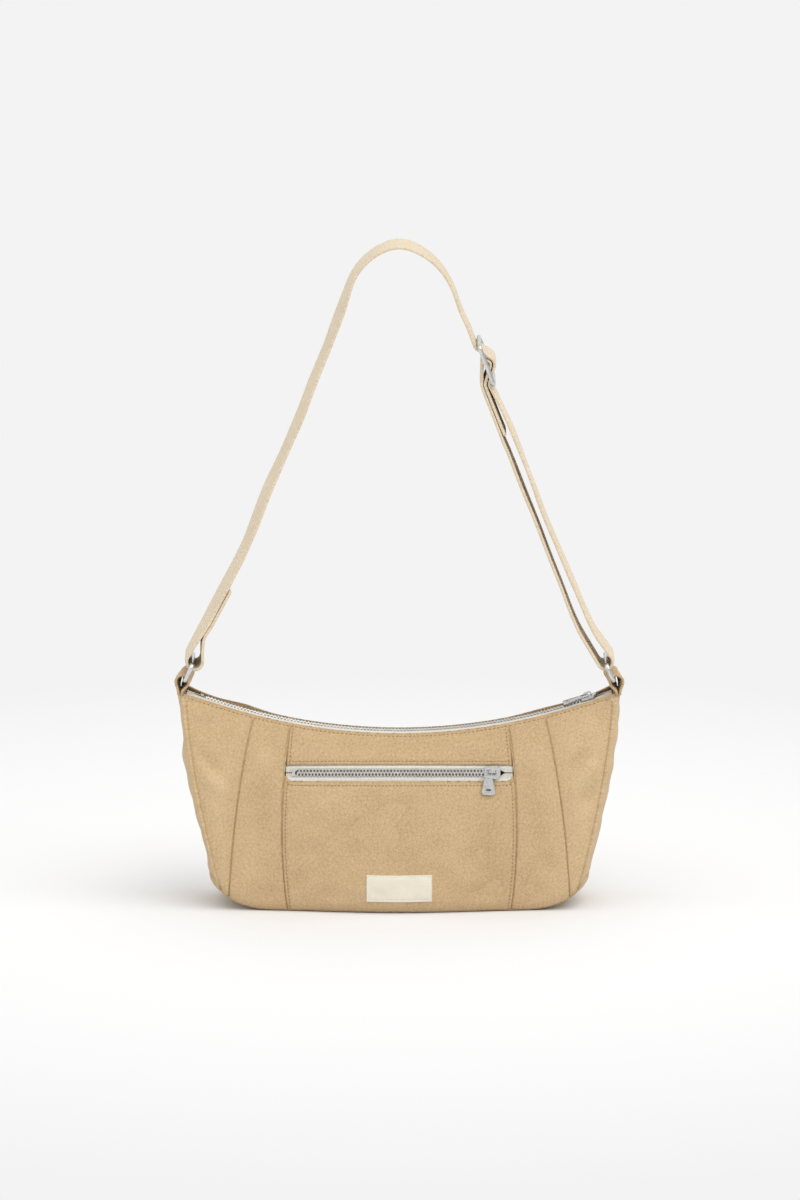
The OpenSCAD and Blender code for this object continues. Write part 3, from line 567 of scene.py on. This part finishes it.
def row_on(name, edge, d, skip):
    """The line on a panel at this distance from one of its edges, with the way out of it. It
    leaves out this many points at both ends."""
    outer, normal, far = panels[name]
    d_to = far[edge]
    if edge in ("low", "high"):
        outer, normal, d_to = outer.swapaxes(0, 1), normal.swapaxes(0, 1), d_to.T
    path, out = [], []
    for row, n, away in zip(outer, normal, d_to):
        order = np.argsort(away)
        path.append([np.interp(d, away[order], row[order, k]) for k in range(3)])
        out.append([np.interp(d, away[order], n[order, k]) for k in range(3)])
    last = len(path) - skip
    return np.array(path[skip:last]), np.array(out[skip:last])


# Stitches: from one to the next, length and radius.
seam_stitch, top_stitch = (2.5, 1.5, 0.34), (2.9, 1.7, 0.34)
for name, rows in (
        ("stitches_front_seams", [row_on(panel, edge, stitch_in, 1)
                                  for panel in ("front_centre_top", "front_centre_pocket")
                                  for edge in ("left", "right")]),
        ("stitches_back_seams", [row_on("back_centre", edge, stitch_in, 1)
                                 for edge in ("left", "right")]),
        ("stitches_pocket_edges", [row_on("front_centre_top", "low", stitch_in, 3),
                                   row_on("front_centre_pocket", "high", stitch_in, 3)])):
    add_stitches(name, rows, canvas_thread, "canvas", *seam_stitch)
add_stitches("stitches_top_edges", [
    row_on(face + name, "high", top_stitch_in, 2)
    for face, centre in (("front_", "centre_top"), ("back_", "centre"))
    for name in ("outer_left", "inner_left", centre, "inner_right", "outer_right")],
    canvas_thread, "canvas", *top_stitch)


def wrapped_strip(side, s, v, inset):
    """The strip's surface: it wraps a little way round both edges of the side, to its seams."""
    wide = 2 * half_d(1.0, v)
    d = s * (wide + 2 * wrap) - wrap
    past = np.maximum(-d, d - wide)
    face = np.where(d < 0, -1, 1)
    u = side * (1 - np.clip(past, 0, wrap) / half_w(v))
    on_face = points(u * (half_w(v) - inset), face * (half_d(u, v) - inset), shell_z(u, v, inset))
    on_side = strip_at(side, np.clip(2 * d / wide - 1, -1, 1), v, inset)
    grid = np.where((past > 0)[..., None], on_face, on_side)
    for _ in range(corner_rounds):
        grid[:, 1:-1] = (grid[:, :-2] + 2 * grid[:, 1:-1] + grid[:, 2:]) / 4
    return grid


def add_strip(name, side):
    """Side strip: it bulges out between its seams and dips where the strap's loop pulls it."""
    t, s = np.meshgrid(beside_seams(140, cloth_step), beside_seams(65, 2.0), indexing="ij")
    base = wrapped_strip(side, s, t, 0.0)
    across = 2 * (half_d(1.0, t) + wrap)
    tall = top_z(1.0) - bottom_z(1.0)
    far = {"left": s * across, "right": (1 - s) * across, "low": t * tall, "high": (1 - t) * tall}
    normal = out_of(base) * side
    inside = nearest(far)
    lift = (0.7 * swells(base, 48, 7) + 0.35 * swells(base, 20, 8) - 0.8) * ease(inside / 12)
    for edge, d in far.items():
        if edge in ("left", "right"):
            run, rolled = base[..., 2], -0.35 * np.exp(-(d / 1.2) ** 2)
        else:
            run, rolled = base[..., 1], seam_pull(d)
        pucker = 0.2 * np.sin(run * 2 * pi / 7 + side) * np.exp(-d / pucker_reach) * ease(d / 0.8)
        lift += rolled + pucker
    from_side = base[..., [1, 0, 2]]
    for fold in strip_folds:
        lift += crease(from_side, *fold)
    outer = base + normal * lift[..., None]
    # The strip's fold attribute is painted light and shade: a painted highlight on high cloth,
    # painted shade in hollows and beside its seams, and painted light all over it, as it faces a
    # side.
    piece = add_sheet(name, outer, wrapped_strip(side, s, t, back_in), canvas,
                      np.stack([base[..., 1] + 700, base[..., 2]], -1),
                      painted_fold_light(lift, inside, 0.9, 2.2), side < 0)
    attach(piece, "bag")
    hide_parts(name)


add_strip("side_strip_left", -1)
add_strip("side_strip_right", 1)

s, t = np.meshgrid(beside_seams(2 * base_half_w, 2.6), beside_seams(80, 2.6), indexing="ij")
u, w = 2 * s - 1, 2 * t - 1
base = base_at(u, w, 0.0)
away = np.minimum((1 - np.abs(w)) * half_d(u, 0 * u), (1 - np.abs(u)) * base_half_w)
lift = seam_pull(away) * 0.6 - 0.3 * ease(away / 6) + 0.12 * swells(base, 30, 9) * ease(away / 8)
normal = out_of(base)
normal *= -np.sign(normal[..., 2:3] + 1e-9)
outer = base + normal * (lift * 0.5)[..., None]
outer[..., 2] = np.maximum(outer[..., 2], 0.0)
# The base's lift is painted into its colour too: painted shade where it sinks, painted light where
# it rises.
piece = add_sheet("base_panel", outer, base_at(u, w, back_in), canvas,
                  np.stack([base[..., 0], base[..., 1] - 400], -1), lift, True)
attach(piece, "bag")
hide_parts("base_panel")

# The lining hangs inside the shell, a little away from it: a front, a back, and one strip that goes
# down one side, under, and up the other. In front of it hangs the pocket's own bag of two layers,
# sewn shut at its sides and its bottom.
lining_in, lining_t, lining_top = 1.9, 0.6, 0.975
pocket_in, pocket_out, pocket_clear, pocket_foot = 2.2, 12.4, 0.9, 0.14
pocket_u = float((slot_half_l - 4.3) / half_w(slot_part))
lining = cloth_finish("lining", (0.62, 0.55, 0.42), (0.80, 0.74, 0.61), 0.5, 0.8, 0.9, 0.1, 0.0002)


def pocket_push(u, v):
    """How far the front lining stands back, to leave room for the pocket's bag."""
    return (pocket_out + pocket_clear - lining_in) * ease((pocket_u + 0.18 - np.abs(u)) / 0.14) \
        * ease(v / 0.1) * ease((lining_top - v) / 0.12)


for name, side in (("lining_front", -1), ("lining_back", 1)):
    v, u = np.meshgrid(np.linspace(0, lining_top, 41), np.linspace(-1, 1, 91), indexing="ij")
    inset = lining_in + (pocket_push(u, v) if side < 0 else 0 * u)
    outer, inner = face_at(side, u, v, inset), face_at(side, u, v, inset + lining_t)
    hang = 0.35 * (1 + swells(outer, 26, 12)) * ease((1 - np.abs(u)) / 0.1) * ease(v / 0.1)
    outer[..., 1] -= side * hang
    inner[..., 1] -= side * hang
    piece = add_sheet(name, outer, inner, lining,
                      np.stack([u * half_w(v), outer[..., 2]], -1), flip=side > 0)
    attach(piece, "bag")
    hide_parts(name)

w, t = np.meshgrid(np.linspace(-1, 1, 17), np.linspace(0, 3, 151), indexing="xy")


def lining_strip_at(inset):
    """t goes from 0 to 1 down the left, to 2 along the bottom and to 3 up the right."""
    down = strip_at(-1, w, np.clip(1 - t, 0, 1) * lining_top, inset)
    under = base_at(np.clip(2 * t - 3, -1, 1), w, inset)
    up = strip_at(1, w, np.clip(t - 2, 0, 1) * lining_top, inset)
    return np.where((t < 1)[..., None], down, np.where((t > 2)[..., None], up, under))


piece = add_sheet("lining_strip", lining_strip_at(lining_in), lining_strip_at(lining_in + lining_t),
                  lining, np.stack([w * 30, t * 150], -1))
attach(piece, "bag")
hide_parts("lining_strip")


def soft(a, power):
    """A sine or cosine made squarer, for a flat bag with round corners."""
    return np.sign(a) * np.abs(a) ** power


def pocket_bag_at(shrink):
    """The pocket's bag, this much smaller: flat at its foot, and open at the slot."""
    a, t = np.meshgrid(np.linspace(0, 2 * pi, 57), np.linspace(0, 1, 19))
    wide = pocket_u - 0.02 * (1 - t) - shrink / base_half_w
    opened = (pocket_out - pocket_in) / 2 * lerp(0.3, 1, ease(t * 2.2)) * ease(t / 0.06) - shrink
    u = wide * soft(np.cos(a), 0.45)
    deep = soft(np.sin(a), 0.6)
    inset = (pocket_in + pocket_out) / 2 + opened * deep
    z = slot_z - 3 + deep * (slot_h / 2 + 3)
    v_high = (z - bottom_z(u) - inset) / (top_z(u) - bottom_z(u) - inset)
    return face_at(-1, u, lerp(pocket_foot + shrink / mid_h, v_high, t), inset), a, t


outer, a, t = pocket_bag_at(0)
piece = add_sheet("pocket_bag", outer, pocket_bag_at(lining_t)[0], lining,
                  np.stack([a * 40, t * 80], -1), ends=(True, True, False, False))
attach(piece, "bag")
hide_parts("pocket_bag")

# Cream cotton label with its four edges folded under, sewn on near the bottom of the pocket.
# It is bare.
label_w, label_h, label_z, label_t = 45.0, 18.5, 17.5, 0.95
hem_round, hem_sewn = 0.7, 1.35
label_stitch = (2.0, 1.45, 0.2)
label_cloth = cloth_finish("label_cloth", (0.68, 0.62, 0.50), (0.83, 0.78, 0.67), 0.42, 0.42, 0.85,
                           0.1, 0.00022)
label_thread = cloth_finish("label_thread", (0.80, 0.76, 0.68), (0.92, 0.89, 0.82), 0.3, 0.4, 0.7,
                            0.1, 0.0001)


hem_steps = [0, 0.1, 0.25, 0.45, 0.7, 1.0, hem_sewn, 1.7, 2.2, 3]
sewn_row = hem_steps.index(hem_sewn)


def beside_hems(low, high, clear, count):
    """Places across the label, closer together along its folded edges."""
    middle = np.linspace(low + clear, high - clear, count)
    return np.array([low + d for d in hem_steps] + list(middle)
                    + [high - d for d in reversed(hem_steps)])


x, z = np.meshgrid(beside_hems(-label_w / 2, label_w / 2, 4.5, 26),
                   beside_hems(label_z - label_h / 2, label_z + label_h / 2, 4, 9))
base = face_at(-1, x / half_w(z / mid_h), z / mid_h, 0.0)
normal = -out_of(base)
normal *= np.sign(-normal[..., 1:2])
edge = np.minimum(label_w / 2 - np.abs(x), label_h / 2 - np.abs(z - label_z))
under = slack(-1, base) * ease(z / slack_from) + seam_pull(z)
thick = label_t * np.sqrt(np.clip(1 - (1 - np.clip(edge / hem_round, 0, 1)) ** 2, 0, 1)) + 0.1
thick -= 0.3 * np.exp(-((edge - hem_sewn) / 0.45) ** 2)
thick += 0.10 * swells(base, 9, 21) * ease(edge / 2)
label_face = base + normal * (under + thick)[..., None]
# The label's fold attribute is painted shade: darker towards its folded edges and along its sunk
# stitch line.
piece = add_sheet("label", label_face, base + normal * (under - 0.15)[..., None], label_cloth,
                  np.stack([x, z], -1), thick - 1.0)
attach(piece, "bag")
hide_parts("label")
along = slice(sewn_row, -sewn_row)
add_stitches("stitches_label", [
    (label_face[line], normal[line])
    for line in ((sewn_row, along), (along, -sewn_row - 1), (-sewn_row - 1, along),
                 (along, sewn_row))], label_thread, "label_cloth", *label_stitch)

# The top zip: two tapes sewn under the folded top edges, and nickel-plated teeth that grip them.
# The tapes tent up from the canvas to the teeth.
tape_edge, tape_end, tape_t, tape_half_w = 1.9, 0.3, 0.6, 6.45
tape_flare, tape_past = 2.3, 6.5
top_half_l = top_half_w - 10
tape = cloth_finish("tape", (0.52, 0.50, 0.44), (0.86, 0.84, 0.79), 0.8, 0.5, 0.85, 0.12, 0.0002)


def painted_teeth_shade(y):
    """Painted shade on a tape under and beside its teeth, y millimetres away from the teeth's
    middle line.
    """
    return -2.6 * ease((4.0 - y) / 1.4)


def on_arc(x, y, lift):
    """Points on the zip's arc, this far above its middle."""
    turn = np.arcsin(x / zip_r)
    return points((zip_r - lift) * np.sin(turn), y, mid_h + zip_r - (zip_r - lift) * np.cos(turn))


for name, side in (("top_tape_front", -1), ("top_tape_back", 1)):
    along = np.linspace(-top_half_l - tape_past, top_half_l + tape_past, 230)
    t, x = np.meshgrid(np.array([0, 0.04, 0.12, 0.25, 0.4, 0.55, 0.7, 0.82, 0.92, 1]), along)
    inner_edge = lerp(tape_edge, tape_end, ease((np.abs(x) - top_half_l) / 3))
    outer_edge = tape_half_w + tape_flare * ease((np.abs(x) - top_half_l + 2) / 7)
    y = lerp(inner_edge, outer_edge, t)
    fall = -1.5 * ease((y - 2.7) / 3.9)
    wave = 0.10 * np.sin(x / 4.1 + side) * ease((y - 2.5) / 2)
    piece = add_sheet(name, on_arc(x, side * y, fall + wave + tape_t / 2),
                      on_arc(x, side * y, fall + wave - tape_t / 2), tape,
                      np.stack([x, y], -1), painted_teeth_shade(y), side > 0)
    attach(piece, "bag")
    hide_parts(name)


def metal_finish(name, tone, rough, grain, deep):
    """Nickel plate: soft blotches in its shine and fine scratches from handling, of this grain
    and this deep."""
    finish, t = start_finish(name)
    at = t.make("ShaderNodeTexCoord", {}, {}, "Object")
    cloud = t.make("ShaderNodeTexNoise", {}, {"Vector": at, "Scale": 260.0, "Detail": 3.0})
    pulled = t.make("ShaderNodeMapping", {}, {0: at, "Scale": (grain, grain * 0.12, grain)})
    scratch = t.make("ShaderNodeTexNoise", {}, {"Vector": pulled, "Scale": 1.0, "Detail": 4.0})
    normal = t.make("ShaderNodeBump", {}, {"Height": scratch + cloud * 0.5, "Strength": 0.25,
                                           "Distance": deep})
    dull = tuple(c * 0.82 for c in tone)
    end_finish(t, t.make("ShaderNodeBsdfPrincipled", {}, {
        "Base Color": cloud.between(0.35, 0.65).tint((*dull, 1), (*tone, 1)),
        "Metallic": 1.0, "Roughness": scratch.between(0.3, 0.7) * 0.14 + (rough - 0.05),
        "Normal": normal}))
    return finish


def plate(finish, *names):
    """Gives CAD nodes this finish, in the slots that they have."""
    for name in names:
        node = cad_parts[name]
        for held in node.material_slots:
            held.material = finish
        if not node.material_slots:
            node.data.materials.append(finish)


zip_metal = metal_finish("zip_metal", (0.56, 0.545, 0.515), 0.34, 4000.0, 0.00003)
slider_metal = metal_finish("slider_metal", (0.60, 0.60, 0.59), 0.27, 3000.0, 0.00003)
plate(zip_metal, "top_teeth_front", "top_teeth_back", "top_zip_stops")
plate(slider_metal, "top_slider", "top_pull")

# The pocket zip: a straight zip of the same kind, set in a slot across the centre panel. The ends
# of its tapes are rounded.
slot_mid = np.array([0.0, -(float(half_d(0.0, slot_part)) - 2.0), slot_z])
slot_up = np.array([0.0, sin(slot_lean), cos(slot_lean)])
slot_out = np.array([0.0, -cos(slot_lean), sin(slot_lean)])
pocket_teeth_end, tape_round = 70.0, 2.4


def on_slot(x, y, z):
    """Points along the slot, up it and out of it."""
    return slot_mid + x[..., None] * np.array([1.0, 0, 0]) + y[..., None] * slot_up \
        + z[..., None] * slot_out


for name, side, tape_w in (("pocket_tape_upper", 1, 6.6), ("pocket_tape_lower", -1, 6.1)):
    ends = slot_half_l - np.array([0, 0.1, 0.3, 0.6, 1.0, 1.5, 2.2, 3.2])
    along = np.concatenate([-ends, np.linspace(-74, 74, 110), ends[::-1]])
    t, x = np.meshgrid(np.array([0, 0.05, 0.15, 0.3, 0.45, 0.6, 0.75, 0.88, 1]), along)
    cut = np.clip((np.abs(x) - slot_half_l + tape_round) / tape_round, 0, 1)
    outer_edge = tape_w - tape_round * (1 - np.sqrt(1 - cut ** 2))
    inner_edge = lerp(tape_edge, tape_end, ease((np.abs(x) - pocket_teeth_end) / 2.5))
    y = lerp(inner_edge, outer_edge, t)
    z = -0.45 * ease((y - 3.0) / 3.2) + 0.06 * np.sin(x / 3.7) * t
    piece = add_sheet(name, on_slot(x, side * y, z + tape_t / 2),
                      on_slot(x, side * y, z - tape_t / 2), tape,
                      np.stack([x, y + 50], -1), painted_teeth_shade(y), side < 0)
    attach(piece, "bag")
    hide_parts(name)
plate(zip_metal, "pocket_teeth_upper", "pocket_teeth_lower", "pocket_zip_stops")
plate(slider_metal, "pocket_slider", "pocket_pull")

# Loops of the shell's canvas at the top of each side strip hold a wire ring each. They are folded
# over the ring's lower bar, pinched together and sewn into the zip's end seam.
strap_w, strap_t, strap_top = 35.0, 2.4, 461.0
ring_wire, ring_h, ring_lean = 3.2, 12.0, radians(24)
ring_in, ring_over = 2.8, 9.61
layer = strap_t + 0.3
ring_foot = np.array([top_half_w - ring_in, float(top_z(1.0)) + ring_over])
ring_up = np.array([-sin(ring_lean), cos(ring_lean)])
wire_metal = metal_finish("wire_metal", (0.70, 0.70, 0.69), 0.22, 2500.0, 0.00002)
plate(wire_metal, "ring_left", "ring_right")


def on_circle(centre, r, a):
    return centre + r * np.array([cos(a), sin(a)])


def arc_points(centre, r, start, end, steps):
    return [on_circle(centre, r, lerp(start, end, i / steps)) for i in range(steps + 1)]


def touch_angle(point, centre, r, left):
    """Where on a circle a straight line from this point touches it, on its left or its right."""
    d = np.asarray(point) - centre
    return atan2(d[1], d[0]) + (1 if left else -1) * acos(r / np.hypot(*d))


def curve(p, steps):
    """Smooth curve through the points; the first and last only set its direction at the ends."""
    p = [np.asarray(q, dtype=float) for q in p]
    found = []
    for i in range(1, len(p) - 2):
        a, b, c, d = p[i - 1:i + 3]
        for k in range(steps):
            t = k / steps
            found.append(0.5 * (2 * b + (c - a) * t + (2 * a - 5 * b + 4 * c - d) * t * t
                                + (3 * b - a - 3 * c + d) * t ** 3))
    return found + [p[-2]]


def evenly(path, step):
    """The same path in even steps, and how far along it each point is."""
    path = np.array(path)
    gap = np.linalg.norm(np.diff(path, axis=0), axis=1)
    path = path[np.concatenate([[True], gap > 1e-6])]
    far = np.concatenate([[0], np.cumsum(np.linalg.norm(np.diff(path, axis=0), axis=1))])
    at = np.linspace(0, far[-1], max(2, int(far[-1] / step)))
    return np.stack([np.interp(at, far, path[:, k]) for k in (0, 1)], -1), at


def add_band(name, path, half, thick, finish, yaw, slackness, ends=(True, True),
             first=None, last=None, hinge=0.0, from_s=0.0):
    """Flat band of cloth along a path of (x, z), with rounded edges. yaw(p) is its slant from
    front to back at a point of the path, about the line at y = hinge. Gives its length too."""
    path, s = evenly(path, 1.6)
    way = np.gradient(path, axis=0)
    if first is not None:
        way[0] = first
    if last is not None:
        way[-1] = last
    way /= np.linalg.norm(way, axis=1, keepdims=True)
    n = np.stack([-way[:, 1], way[:, 0]], -1)
    near = np.array([0, 0.08, 0.25, 0.5, 0.85, 1.3, 1.9, 2.7])
    y = np.concatenate([-half + near, np.linspace(-half + 4, half - 4, 13), half - near[::-1]])
    edge = half - np.abs(y)
    h = thick / 2 * np.sqrt(np.clip(1 - (1 - np.clip(edge / (thick / 2), 0, 1)) ** 2, 0.02, 1))
    h *= 1 - 0.10 * np.exp(-((edge - 2.0) / 0.7) ** 2)
    fade = (ease(s / 8) * ease((s[-1] - s) / 8))[:, None]
    wave = slackness * swells(points(path[:, None, 0], y[None, :], path[:, None, 1]), 44, 31) * fade
    cup = 0.0006 * (y ** 2)[None, :] * fade
    slant = np.array([yaw(p) for p in path])[:, None] * (y[None, :] - hinge)

    def layer_at(sign):
        off = wave - cup + sign * h[None, :]
        return points(path[:, None, 0] + n[:, None, 0] * off + slant, y[None, :],
                      path[:, None, 1] + n[:, None, 1] * off)

    weave = np.stack(np.broadcast_arrays(y[None, :] + 0 * s[:, None], s[:, None] + from_s), -1)
    # The band's fold attribute is painted light and shade: paler where its waves rise, darker along
    # its rounded edges.
    piece = add_sheet(name, layer_at(1), layer_at(-1), finish, weave,
                      wave * 0.8 - 0.6 * np.exp(-(edge / 0.5) ** 2), ends=(*ends, True, True))
    return piece, s[-1]


def mirrored(path):
    return [np.array([-q[0], q[1]]) for q in path]


loop_t, loop_r, loop_play, loop_lean = 1.75, 4.3, 0.3, 0.10
loop_centre = ring_foot - (3.3 - ring_wire / 2 - loop_play) * ring_up
foot = np.array([top_half_w + strip_bulge / 4 - canvas_t / 2, float(top_z(1.0)) + 0.3])
ply = np.array([1.15, 0])
sewn_in = np.array([0, 1.2])
outer_foot, inner_foot = foot + ply, foot - ply
pinch_at = inner_foot + np.array([-1.3, 2.2])
start = touch_angle(outer_foot, loop_centre, loop_r, True)
end = touch_angle(pinch_at, loop_centre, loop_r, False)
loop_path = [outer_foot - sewn_in, outer_foot] \
    + arc_points(loop_centre, loop_r, start, end + 2 * pi, 30) \
    + curve([on_circle(loop_centre, loop_r, end), pinch_at, inner_foot + np.array([-0.1, 1]),
             inner_foot - np.array([0, 1.5])], 4) + [inner_foot, inner_foot - sewn_in]


def loop_yaw(side):
    """A loop's slant: it grows above its sewn foot."""
    return lambda p: -loop_lean * side * float(ease((p[1] - foot[1]) / 8))


for name, side, path in (("loop_left", -1, mirrored(loop_path)), ("loop_right", 1, loop_path)):
    piece, _ = add_band(name, path, strap_w / 2 - 0.6, loop_t, canvas, loop_yaw(side),
                        0.15)
    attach(piece, "bag")
    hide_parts(name)

# The strap: one length of cotton webbing. One end turns round the left ring and is sewn to itself.
# The other goes through the adjuster, down round the right ring, and back up to the adjuster's
# middle bar, where it is sewn down.
webbing = cloth_finish("webbing", (0.60, 0.485, 0.335), (0.80, 0.69, 0.52), 1.3, 0.9, 0.9, 0.2,
                       0.0004)
webbing_t = 2.1
half_strap = strap_w / 2 - 0.25
turn_in, turn_play = 4.2, 0.8
turn_r = turn_in + strap_t / 2
right_turn = ring_foot + (ring_h + turn_in - ring_wire / 2 - turn_play) * ring_up
left_turn = np.array([-right_turn[0], right_turn[1]])
ring_slant, left_slant = -0.03, -0.10
stretches = []


def straight_on(p):
    return 0.0


def left_yaw(p):
    """The left leg's slant: it grows above the ring and ends at the strap's top."""
    slant = lerp(ring_slant, left_slant, float(ease((p[1] - 176) / 25)))
    return slant * float(ease((470 - p[1]) / 60))


def arch_yaw(p):
    return left_yaw(p) * float(ease(-p[0] / 45))


def add_webbing(name, path, slackness, first, last, yaw=straight_on, ends=(False, False),
                hinge=0.0):
    """The strap's next stretch. Its weave goes on from where the last one's ends."""
    piece, length = add_band(name, path, half_strap, webbing_t, webbing, yaw, slackness,
                             ends, first, last, hinge, sum(stretches))
    stretches.append(length)
    return piece


def on_strap(across, up):
    """A place by its part of the way to the ring across, and from the ring to the arch up."""
    return np.array([across * ring_foot[0], lerp(ring_foot[1], strap_top, up)])


left_split = on_strap(-0.7473, 0.2823)
left_touch = touch_angle(left_split, left_turn, turn_r, True)
left_foot = on_circle(left_turn, turn_r, left_touch)
left_up = (left_split - left_foot) / np.hypot(*(left_split - left_foot))
left_in = np.array([left_up[1], -left_up[0]])


def beside_left(s, n):
    """A place s up the strap's left leg from the ring, and n in from it."""
    return left_foot + s * left_up + n * left_in


left_leave, left_cut, left_tip = 16, 24, 54
leave = beside_left(left_leave, layer + 0.6)
leave_angle = touch_angle(leave, left_turn, turn_r, False)
path = [beside_left(left_tip, layer), beside_left(left_cut + 4, layer)] \
    + curve([beside_left(left_cut + 8, layer), beside_left(left_cut, layer), leave,
             on_circle(left_turn, turn_r, leave_angle)], 6) \
    + arc_points(left_turn, turn_r, leave_angle, left_touch - 2 * pi, 30) \
    + [beside_left(left_cut, 0), left_split]
piece = add_webbing("webbing_left", path, 0.12, None, left_up, left_yaw, (True, False), half_strap)
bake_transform(piece)
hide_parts("strap_turn_left", "strap_left_end")

# The adjuster sits on the strap's right leg: a frame of nickel-plated wire with a middle bar. The
# strap comes down from its arch, weaves through the bars, turns round the right ring, and comes
# back up inside to the middle bar.
slide_at = on_strap(0.4042, 0.7283)
leg_line = right_turn - slide_at
leg_turn = radians(1.114)
leg_lean = atan(-leg_line[0] / leg_line[1]) - leg_turn
leg = np.array([sin(leg_lean), -cos(leg_lean)])
out = np.array([cos(leg_lean), sin(leg_lean)])


def on_leg(s, n):
    """A place s down the strap's right leg from the adjuster's middle bar, and n out from it."""
    return slide_at + s * leg + n * out


def on_legs(p):
    return [on_leg(*q) for q in p]


def leg_way(lean):
    """The way down the leg, leaning out by this many degrees."""
    return cos(radians(lean)) * leg + sin(radians(lean)) * out


slide_wire, slide_h, run_short = 3.0, 28.8, 28.86
run_lean, back_lean = 6, 4
bar_r1 = slide_wire / 2 + 0.3 + strap_t / 2
bar_r2 = bar_r1 + layer
bar_r3 = bar_r2 + layer
bar_at = slide_h / 2
cross = asin((bar_r1 + bar_r2) / bar_at)
beside = asin((bar_r3 - bar_r1) / bar_at)
upper_bar, middle_bar, lower_bar = np.array([-bar_at, 0]), np.zeros(2), np.array([bar_at, 0])
weave_end = bar_at + 10
weave_n = -bar_r1 + 10 * tan(radians(run_lean))
run_end = np.hypot(*leg_line) - run_short
plate(wire_metal, "adjuster_frame", "adjuster_bar")

rising = [on_strap(*part) for part in (
    (-0.6515, 0.3993), (-0.5516, 0.5162), (-0.4518, 0.6322), (-0.3594, 0.7482), (-0.2711, 0.8641),
    (-0.2072, 0.9321), (-0.1155, 0.9775))]
falling = [on_strap(*part) for part in (
    (0.0951, 0.9828), (0.1834, 0.9503), (0.2446, 0.9039), (0.2853, 0.8476))]
path = curve([left_split - 36 * left_up, left_split] + rising + [(-1, strap_top - strap_t / 2)]
             + falling + [on_leg(-weave_end, -bar_r1), on_leg(-weave_end + 16, -bar_r1)], 10)
piece = add_webbing("webbing_arch", path, 0.35, left_up, leg, arch_yaw, hinge=half_strap)
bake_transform(piece)
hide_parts("strap_arch")

quarter = radians(90)
path = on_legs([(-weave_end, -bar_r1)]
               + arc_points(upper_bar, bar_r1, 3 * quarter, 3 * quarter + cross, 8)
               + arc_points(middle_bar, bar_r2, quarter + cross, quarter - cross, 16)
               + arc_points(lower_bar, bar_r1, 3 * quarter - cross,
                            3 * quarter + radians(run_lean), 9)
               + [(weave_end, weave_n)])
piece = add_webbing("webbing_weave", path, 0.0, leg, leg_way(run_lean))
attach(piece, "adjuster")
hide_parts("strap_weave")


def run_s(t):
    return lerp(weave_end, run_end, t)


path = curve(on_legs([(weave_end - 30, weave_n - 3), (weave_end, weave_n), (run_s(0.1745), 0.3),
                      (run_s(0.3514), 0.3), (run_s(0.5165), 0.5), (run_s(0.6698), 1.2),
                      (run_s(0.8349), 2.3), (run_end, 3.4), (run_end + 28, 7)]), 8)
piece = add_webbing("webbing_outer_run", path, 0.25, leg_way(run_lean), leg_way(run_lean))
start, end = ((p[0] * MM, 0, p[1] * MM) for p in (on_leg(weave_end, -2), on_leg(run_end, -2)))
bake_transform(piece)
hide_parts("strap_outer_run")

outer_last, inner_last = on_leg(run_end + 12, 5.4), on_leg(run_end + 12, -4.2)
outer_angle = touch_angle(outer_last, right_turn, turn_r, False)
inner_angle = touch_angle(inner_last, right_turn, turn_r, True)
path = curve([on_leg(run_end - 12, 2.9), on_leg(run_end, 3.4), outer_last,
              on_circle(right_turn, turn_r, outer_angle)], 6) \
    + arc_points(right_turn, turn_r, outer_angle, inner_angle - 2 * pi, 30) \
    + curve([on_circle(right_turn, turn_r, inner_angle), inner_last, on_leg(run_end, -5.6),
             on_leg(run_end - 12, -5.9)], 6)
piece = add_webbing("webbing_right", path, 0.12, leg_way(run_lean), -leg_way(back_lean))
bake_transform(piece)
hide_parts("strap_turn_right")

sewn_out = weave_end + 26
path = curve(on_legs([(run_end + 30, -2.6), (run_end, -5.6), (run_s(0.7995), -6.3),
                      (run_s(0.5873), -6.7), (run_s(0.375), -7.3), (sewn_out + 4, -8),
                      (sewn_out - 32, -8.3)]), 8)
piece = add_webbing("webbing_inner_run", path, 0.2, -leg_way(back_lean), -leg)
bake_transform(piece)
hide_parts("strap_inner_run")

path = on_legs([(sewn_out + 4, -8), (bar_at + 8, -bar_r3)]
               + arc_points(lower_bar, bar_r3, 3 * quarter, 3 * quarter - beside, 5)
               + arc_points(middle_bar, bar_r1, 3 * quarter - beside, quarter - cross, 24)
               + arc_points(lower_bar, bar_r2, 3 * quarter - cross, 3 * quarter, 7)
               + [(bar_at + 8, -bar_r2), (sewn_out, -8 + layer)])
piece = add_webbing("webbing_sewn_end", path, 0.0, -leg, leg, ends=(False, True))
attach(piece, "adjuster")
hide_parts("strap_sewn_end")
